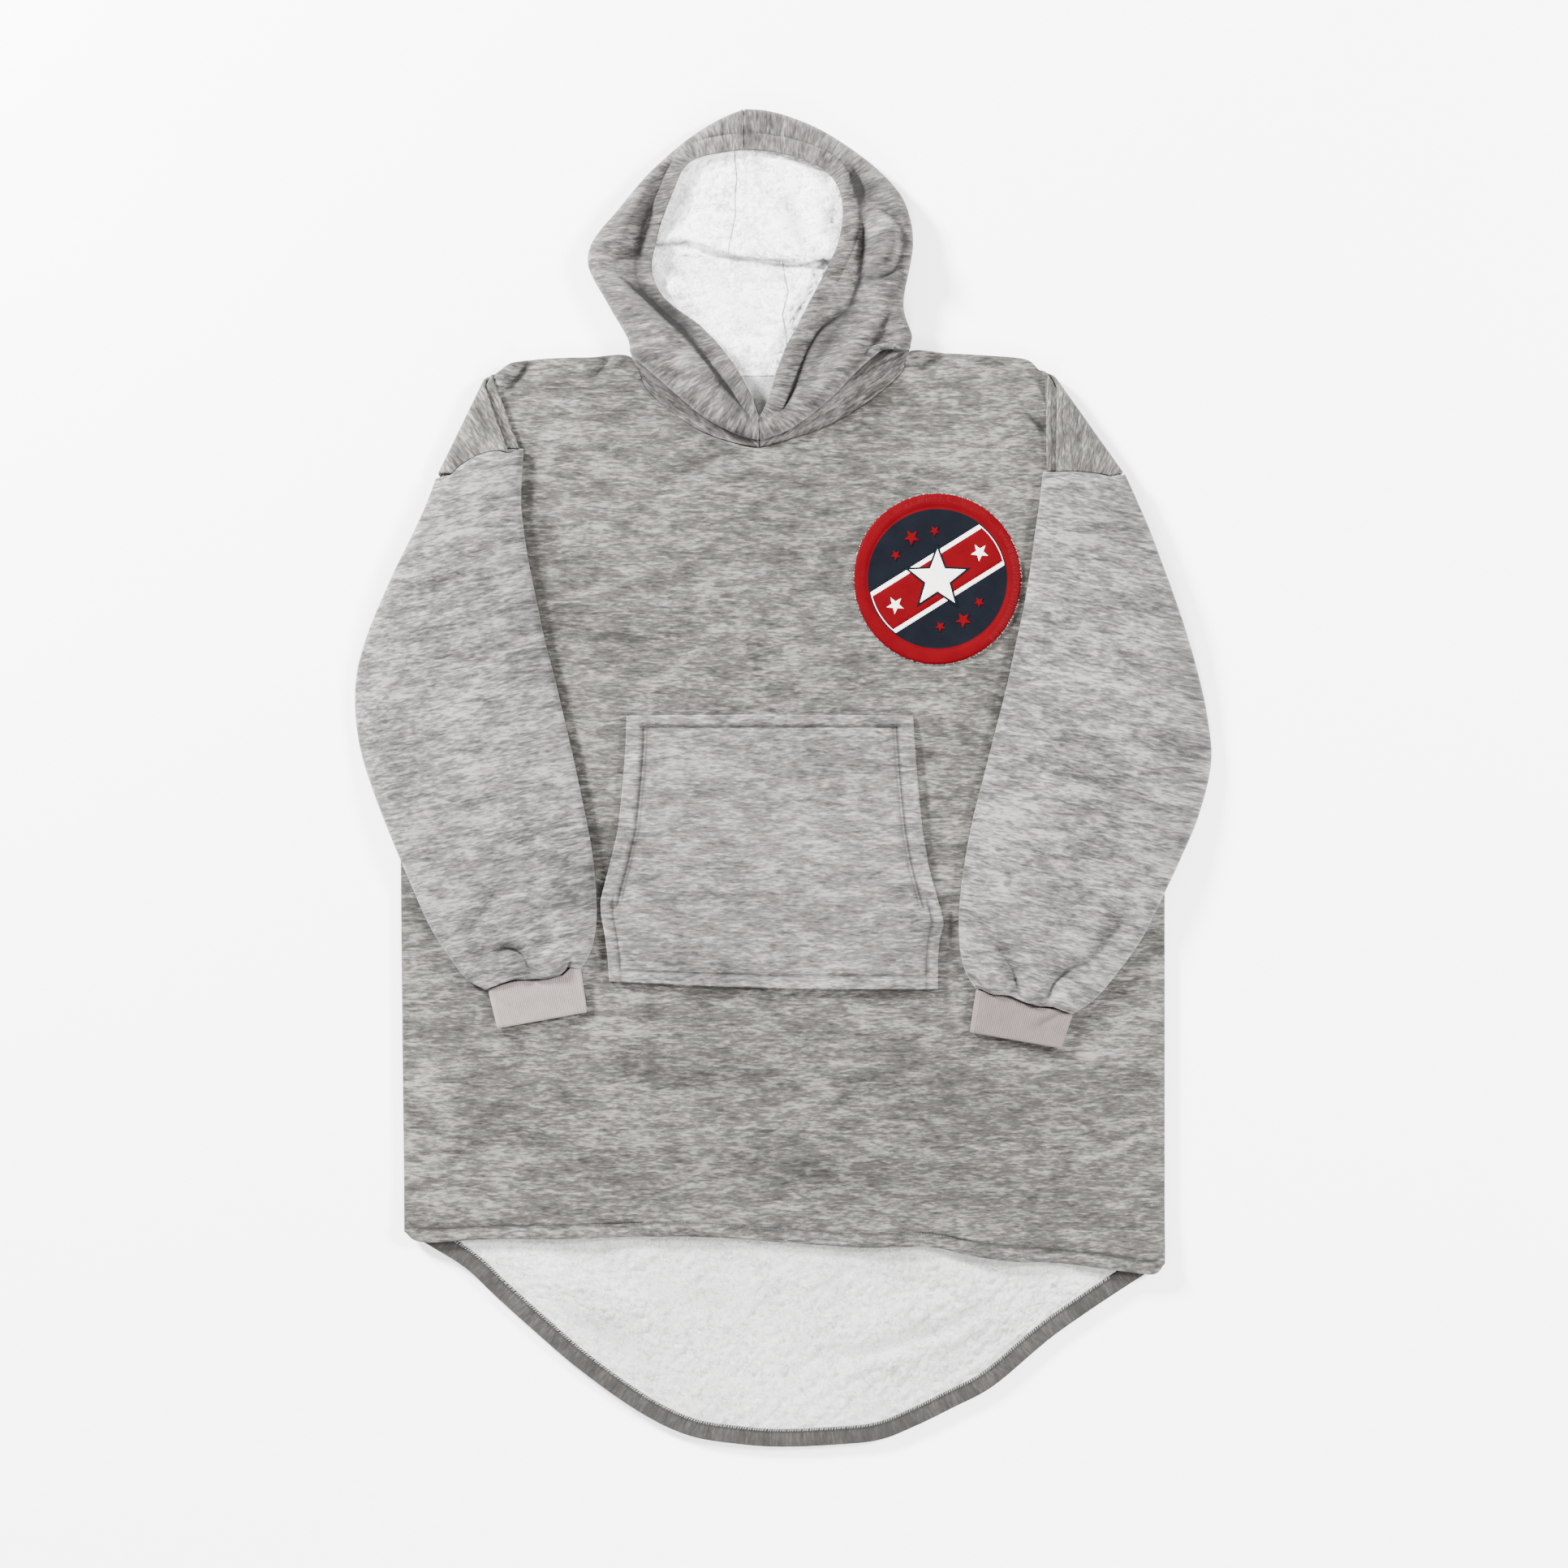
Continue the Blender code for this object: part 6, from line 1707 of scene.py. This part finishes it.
def heather(name, dark, middle, light, contrast=1.0):
    """Brushed heather fleece: short streaks along the cloth, blotches and a fine nap."""
    made, tree, shader = new_skin(name, 0.95, 0.12)
    source = grain_source(tree, True)
    streak = noise(tree, source, (55.0, 275.0, 1.0), 2.5, 0.62, 0.6)
    fleck = noise(tree, source, (125.0, 490.0, 1.0), 1.5, 0.55, 0.3)
    blotch = noise(tree, source, (21.0, 62.0, 1.0), 3.0, 0.62, 0.8)
    patchy = noise(tree, source, (6.5, 10.0, 1.0), 2.0, 0.55, 0.4)
    grain = noise(tree, source, (1200.0, 1500.0, 1.0), 1.0, 0.5)
    value = weighted(tree, ((streak, 1.5 * contrast), (fleck, 1.15 * contrast),
                            (blotch, 1.5 * contrast), (patchy, 0.65 * contrast),
                            (grain, 0.5)))
    colour = ramp(tree, value, ((0.0, dark), (0.5, middle), (1.0, light)))
    tint = noise(tree, source, (30.0, 90.0, 1.0), 2.0, 0.5)
    warmth = ramp(tree, tint, ((0.3, (0.965, 0.99, 0.985)), (0.7, (1.0, 0.962, 0.925))))
    with_painted_light(tree, shader, mixed_colour(tree, 1.0, colour, warmth, "MULTIPLY"))
    nap = weighted(tree, ((streak, 0.7), (fleck, 0.6), (grain, 0.9), (blotch, 0.5)))
    bump(tree, shader, nap, 0.55, 0.0016)
    return made


def sherpa(name, low, high, smudge=1.0, ends=(0.05, 0.62)):
    """Off-white pile in small tufts."""
    grains = (((150.0, 150.0, 150.0), 3.0, 0.6, 1.4), ((800.0, 800.0, 800.0), 3.0, 0.65, 1.5),
              ((22.0, 27.0, 22.0), 3.0, 0.6, 0.5))
    return grained_skin(name, (1.0, 0.25), False, grains, (1.2, 0.9, smudge),
                        ((ends[0], low), (ends[1], high)), ((1.0, 0.5), 1.0, 0.0035), True)


def rib_knit(name, dark, light):
    """Fine knit across the ribs, which the mesh itself has."""
    grains = (((900.0, 500.0, 1.0), 2.0, 0.5), ((60.0, 60.0, 1.0), 2.0, 0.5))
    return grained_skin(name, (0.95, 0.1), True, grains, (0.6, 0.4), ((0.2, dark), (0.8, light)),
                        ((1.0,), 0.4, 0.0006), True)


def thread_skin(name, dark, light):
    """Sewing thread."""
    return grained_skin(name, (0.8, 0.0, 0.1), False, (((900.0, 900.0, 900.0), 2.0, 0.6),),
                        (1.0,), ((0.3, dark), (0.7, light)), ((1.0,), 0.4, 0.0004))


def felt(name, dark, light):
    """Plain felt."""
    grains = (((1300.0, 1300.0, 1.0), 2.0, 0.6), ((45.0, 45.0, 1.0), 2.0, 0.5))
    return grained_skin(name, (0.95, 0.0, 0.03), True, grains, (0.8, 0.4),
                        ((0.2, dark), (0.8, light)), ((1.0,), 0.5, 0.0006))


def patch_skin(name):
    """Charcoal felt within a red rim of satin stitches."""
    made, tree, shader = new_skin(name, 0.95, 0.0, 0.03)
    source = grain_source(tree, True)
    weave = noise(tree, source, (1300.0, 1300.0, 1.0), 2.0, 0.6)
    wide = noise(tree, source, (40.0, 40.0, 1.0), 2.0, 0.5)
    value = weighted(tree, ((weave, 0.9), (wide, 0.5)))
    charcoal = ramp(tree, value, ((0.2, CHARCOAL_DARK), (0.8, CHARCOAL_LIGHT)))
    red = ramp(tree, value, ((0.2, (0.038, 0.0002, 0.0012)), (0.8, (0.070, 0.0006, 0.0024))))
    length = add_node(tree, "ShaderNodeVectorMath", operation="LENGTH")
    tree.links.new(source, length.inputs[0])
    outside = combine(tree, "GREATER_THAN", length.outputs["Value"], PATCH_FIELD * MM)
    tree.links.new(mixed_colour(tree, outside, charcoal, red), shader.inputs["Base Color"])
    bump(tree, shader, weave, 0.45, 0.0006)
    return made


def make_skins():
    """Every finish, by a short name. Colours are linear."""
    return {
        "body": heather("heather_body", (0.01320, 0.01260, 0.01150), (0.04700, 0.04470, 0.0412),
                        (0.1480, 0.1435, 0.1330)),
        "sleeve": heather("heather_sleeve", (0.02304, 0.02232, 0.02232), (0.07128, 0.06804, 0.06624),
                          (0.18, 0.175, 0.1714), 1.2),
        "pocket": heather("heather_pocket", (0.02234, 0.02155, 0.02075), (0.07182, 0.06823, 0.06504),
                          (0.1875, 0.1812, 0.1748)),
        "hood": heather("heather_hood", (0.01408, 0.01302, 0.01267), (0.05139, 0.04787, 0.04576),
                        (0.1478, 0.1415, 0.1373)),
        "band": heather("heather_band", (0.0095, 0.0088, 0.0084), (0.0208, 0.0195, 0.0182),
                        (0.0440, 0.0415, 0.0392), 0.7),
        "sherpa": sherpa("sherpa_hood", (0.50, 0.50, 0.49), (1.0, 1.0, 0.995), 0.7, (0.30, 0.55)),
        "tail": sherpa("sherpa_tail", (0.20, 0.20, 0.192), (0.58, 0.58, 0.562), 0.5),
        # The neck's sherpa is the hood's sherpa painted darker: painted shade deep inside the neck
        "neck": sherpa("sherpa_neck_painted_shade", (0.225, 0.225, 0.219), (0.405, 0.405, 0.3975)),
        "cuff": rib_knit("rib_knit_left", (0.1027, 0.08396, 0.08004), (0.1958, 0.1653, 0.1583)),
        # The right cuff's knit is the left's painted darker: painted shade
        "cuff_right": rib_knit("rib_knit_right_painted_shade", (0.0663, 0.0527, 0.0493), (0.1232, 0.102, 0.09605)),
        "patch": patch_skin("patch_felt"),
        "white": felt("white_felt", (0.50, 0.49, 0.47), (0.66, 0.65, 0.62)),
        "red": felt("red_felt", (0.040, 0.0002, 0.0012), (0.072, 0.0006, 0.0024)),
        "charcoal": felt("charcoal_felt", CHARCOAL_DARK, CHARCOAL_LIGHT),
        "red_thread": thread_skin("red_thread", (0.038, 0.0002, 0.0012), (0.088, 0.0012, 0.003)),
        "dark_thread": thread_skin("dark_thread", (0.012, 0.012, 0.012), (0.035, 0.034, 0.033)),
        "gray_thread": thread_skin("gray_thread", (0.028, 0.028, 0.028), (0.072, 0.0704, 0.068)),
        "pale_thread": thread_skin("pale_thread", (0.20, 0.20, 0.195), (0.40, 0.395, 0.39)),
        "floor": grained_skin("floor_paper", (0.9, 0.0), False, (((3.0, 3.0, 3.0), 2.0, 0.5),), (1.0,),
                              ((0.2, (0.93, 0.93, 0.93)), (0.8, (0.95, 0.95, 0.95)))),
    }


def sew_front(front, skins):
    """The line of stitches that holds the front's hem."""
    hem = curve(FRONT_HEM, 500)[12:-12]
    line = surface_path(front, hem + np.array([0.0, HEM_STITCH]), 0.1)
    return seam("front_hem_stitches", line, 3.4, 0.72, 0.34, skins["dark_thread"], seed=61)


def pocket_line(mark_from, mark_to, away, side):
    """A line at a distance from the pocket's side edge."""
    table = np.array(POCKET)
    height = table[0, 2] - table[-1, 2]
    depth = table[0, 2] - table[:, 2]
    marks = np.linspace(mark_from, height + mark_to, 120)
    column = 0 if side < 0 else 1
    x = np.interp(marks, depth, table[:, column]) - side * away
    y = np.interp(marks, depth, table[:, 2 if side < 0 else 3])
    return np.column_stack([x, y])


def sew_pocket(pouch, skins):
    """Two lines down each slanted hem and one inside the other edges."""
    height = POCKET[0][2] - POCKET[-1][2]
    lines = []
    for side in (-1.0, 1.0):
        for away in (POCKET_WIDE_STITCH, 22.0):
            lines.append(pocket_line(13.0, -0.29 * height, away, side))
        lines.append(pocket_line(0.71 * height, -12.0, POCKET_STITCH, side))
    left, right, y_left, y_right = POCKET[-1]
    share = np.linspace(0.0, 1.0, 160)
    x = left + 12.0 + (right - left - 24.0) * share
    y = y_left + (y_right - y_left) * share - POCKET_SAG * np.sin(math.pi * share)
    lines.append(np.column_stack([x, y + POCKET_STITCH]))
    left, right, y_left, y_right = POCKET[0]
    x = left + 3.0 + (right - left - 6.0) * share
    y = y_left - POCKET_STITCH + POCKET_TOP_BOW * np.sin(math.pi * share)
    lines.append(np.column_stack([x, y]))
    made = []
    for number, line in enumerate(lines):
        path = surface_path(pouch, line, 0.05)
        made.append(seam(f"pocket_stitches_{number}", path, 3.0, 0.7, 0.28, skins["gray_thread"],
                         seed=70 + number))
    return made


def sew_tail(skins):
    """Overlock threads across the band's inner edge, and the line beside them."""
    edge, inward = tail_lines()
    left, right = TAIL_EDGE[1][0] + 22.0, TAIL_EDGE[-2][0] - 22.0
    kept = (edge[:, 0] > left) & (edge[:, 0] < right)
    level = WALL + TAIL_LAYER + BAND_WALL + 0.75
    paths = []
    for away in (BAND_WIDTH - 0.4, BAND_WIDTH - 3.0):
        line = (edge + inward * away)[kept]
        paths.append(np.column_stack([line, np.full(len(line), level)]))
    cross = seam("tail_overlock", paths[0], 2.6, 1.5, 0.32, skins["pale_thread"], 1.15, 81)
    line = seam("tail_stitches", paths[1], 3.2, 0.8, 0.3, skins["dark_thread"], 0.0, 82)
    return [cross, line]


def sew_patch(skins):
    """Satin threads across the patch's rim, and loose pale ends outside it."""
    dice = np.random.default_rng(91)
    count = PATCH_THREADS
    angles = math.tau * (np.arange(count) + dice.uniform(-0.3, 0.3, count)) / count
    ray = np.stack([np.cos(angles), np.sin(angles)], axis=1)
    lean = np.stack([-np.sin(angles), np.cos(angles)], axis=1) * dice.uniform(-0.8, 0.8, count)[:, None]
    inner = PATCH_CENTRE + ray * (PATCH_RADII - dice.uniform(9.0, 10.5, count)[:, None]) + lean
    outer = PATCH_CENTRE + ray * (PATCH_RADII - 0.6 + dice.uniform(-0.4, 1.2, count)[:, None])
    ground_low = swell(inner)
    starts = np.column_stack([inner, PATCH_TOP + PATCH_RIM_RISE - 0.1 + ground_low])
    ends = np.column_stack([outer, PATCH_TOP + 0.1 + ground_low])
    up = np.column_stack([ray * 0.3, np.ones(count)])
    rim = threads("patch_rim_threads", starts, ends, up, 0.42, skins["red_thread"])
    few = dice.uniform(0.0, 1.0, count) < 0.45
    tips = PATCH_CENTRE + ray * (PATCH_RADII + dice.uniform(0.2, 1.6, count)[:, None]) + lean
    starts = np.column_stack([outer, PATCH_TOP - 0.2 + ground_low])[few]
    ends = np.column_stack([tips, np.full(count, FRONT_TOP + 0.7) + ground_low])[few]
    pale = threads("patch_pale_threads", starts, ends, up[few], 0.26, skins["pale_thread"])
    return [rim, pale]


def decorate_patch(skins):
    """The patch's own design: a red sash edged in white, a large star and smaller ones."""
    along = np.array([math.cos(SASH_TURN), math.sin(SASH_TURN)])
    across = np.array([-along[1], along[0]])
    made = []
    for name, half_width, radius, height, skin in (
            ("patch_sash_edge", 25.0, 71.5, 0.35, "white"), ("patch_sash", 20.5, 70.6, 0.6, "red")):
        reach = math.asin(half_width / radius)
        right = np.linspace(-reach, reach, 24)
        left = np.linspace(math.pi - reach, math.pi + reach, 24)
        angles = np.concatenate([right, left])
        outline = PATCH_CENTRE + radius * (np.cos(angles)[:, None] * along
                                           + np.sin(angles)[:, None] * across)
        made.append(inlay(name, outline, PATCH_TOP, height, skins[skin]))
    made.append(inlay("patch_star_shadow", star(PATCH_CENTRE, 37.0, 0.0), PATCH_TOP + 0.5, 0.35,
                      skins["charcoal"]))
    made.append(inlay("patch_star", star(PATCH_CENTRE, 31.0, 0.0), PATCH_TOP + 0.8, 0.5,
                      skins["white"]))
    for number, (run, rise, size) in enumerate(SMALL_STARS):
        spot = PATCH_CENTRE + along * run + across * rise
        made.append(inlay(f"patch_small_star_{number}", star(spot, size, SASH_TURN), PATCH_TOP, 0.8,
                          skins["white" if abs(rise) < 1.0 else "red"]))
    return made


def sew_lining(linings, skins):
    """The seam up the middle of the hood's lining, above and below its tuck."""
    made = []
    for number, (low, high) in enumerate(((430.0, 540.0), (552.0, 662.0))):
        y = np.linspace(low, high, 80)
        centre = np.interp(y, [row[0] for row in LINING_ROWS][::-1],
                           [row[1] for row in LINING_ROWS][::-1])
        x = centre + np.interp(y, *LINING_SEAM)
        path = surface_path(linings[1], np.column_stack([x + 0.5, y]), 0.1)
        made.append(seam(f"lining_stitches_{number}", path, 2.4, 0.6, 0.3, skins["gray_thread"],
                         seed=95 + number))
    return made


def lay_out():
    """Every piece, with its sewing."""
    skins = make_skins()
    sewing = []
    linings = []
    back = panel("back_panel_cloth", TAIL_EDGE, NAPE_ROW, BACK_FOLD, BACK_MID, 0.0, 0.0,
                 BACK_STEP, skins["body"])
    front = panel("front_panel_cloth", FRONT_HEM, CORNER_ROW, FRONT_FOLD, FRONT_MID, 1.0, HEM_LIFT,
                  FRONT_STEP, skins["body"], FRONT_CREASES + HEM_WAVES)
    finish_piece(back, "back_panel")
    finish_piece(front, "front_panel")
    for side, area in (("left", 0.19), ("right", 0.20)):
        tube = sleeve(side, skins["sleeve"])
        finish_piece(tube, f"sleeve_{side}")
        knit = cuff(side, skins["cuff" if side == "left" else "cuff_right"])
        finish_piece(knit, f"cuff_{side}")
    for side, table, flat, area in (("left", HOOD_LEFT, (0.36, 0.30), 0.059),
                                    ("right", HOOD_RIGHT, (0.36, 0.33), 0.075)):
        half, band_line = hood(side, table, skins["hood"])
        finish_piece(half, f"hood_{side}")
        first, last = len(band_line) // 60, int(len(band_line) * STITCHES_SHOWN)
        line = surface_path(half, band_line[first:last], 0.05)
        sewing.append(seam(f"hood_band_stitches_{side}", line, 3.4, 0.7, 0.26,
                           skins["gray_thread"], seed=85))
        lining = hood_lining(side, skins["sherpa"])
        finish_piece(lining, f"hood_lining_{side}")
        linings.append(lining)
    inside = neck_lining(skins["neck"])
    finish_piece(inside, None)
    lining = tail_lining(skins["tail"])
    finish_piece(lining, "back_lining")
    band = tail_band(skins["band"])
    finish_piece(band, "back_hem_band")
    pouch = pocket(skins["pocket"])
    finish_piece(pouch, "pocket")
    badge = patch(skins["patch"])
    finish_piece(badge, "patch")
    sewing.append(sew_front(front, skins))
    sewing += sew_pocket(pouch, skins)
    sewing += sew_tail(skins)
    sewing += sew_lining(linings, skins)
    for made in sewing:
        finish_piece(made, None)
    for made in sew_patch(skins) + decorate_patch(skins):
        finish_piece(made, None)


def light_up(paper):
    """The floor, an even sky and three lamps."""
    bpy.ops.mesh.primitive_plane_add(size=12.0, location=(0.0, 0.0, -0.0006))
    floor = bpy.context.object
    floor.name = "floor"
    floor.data.materials.append(paper)
    world = bpy.data.worlds.new("studio")
    bpy.context.scene.world = world
    world.use_nodes = True
    world.node_tree.nodes["Background"].inputs["Color"].default_value = (1.0, 1.0, 1.0, 1.0)
    world.node_tree.nodes["Background"].inputs["Strength"].default_value = WORLD_LIGHT
    for name, place, size, power in LIGHTS:
        lamp = bpy.data.lights.new(name, "AREA")
        lamp.shape = "DISK"
        lamp.size = size
        lamp.energy = power
        made = bpy.data.objects.new(name, lamp)
        made.location = place
        made.rotation_euler = Vector(place).to_track_quat("Z", "Y").to_euler()
        bpy.context.scene.collection.objects.link(made)


def set_camera():
    """A camera straight above, framed as the photo is."""
    lens = bpy.data.cameras.new("camera")
    lens.sensor_width = 36.0
    lens.sensor_fit = "HORIZONTAL"
    lens.lens = 36.0 * CAMERA_HEIGHT / (PHOTO_WIDTH * PHOTO_MM * MM)
    made = bpy.data.objects.new("camera", lens)
    half = PHOTO_WIDTH / 2
    made.location = ((half - PHOTO_ORIGIN[0]) * PHOTO_MM * MM,
                     (PHOTO_ORIGIN[1] - half) * PHOTO_MM * MM, CAMERA_HEIGHT + CLOTH_PLANE)
    bpy.context.scene.collection.objects.link(made)
    bpy.context.scene.camera = made


lay_out()
light_up(bpy.data.materials["floor_paper"])
set_camera()
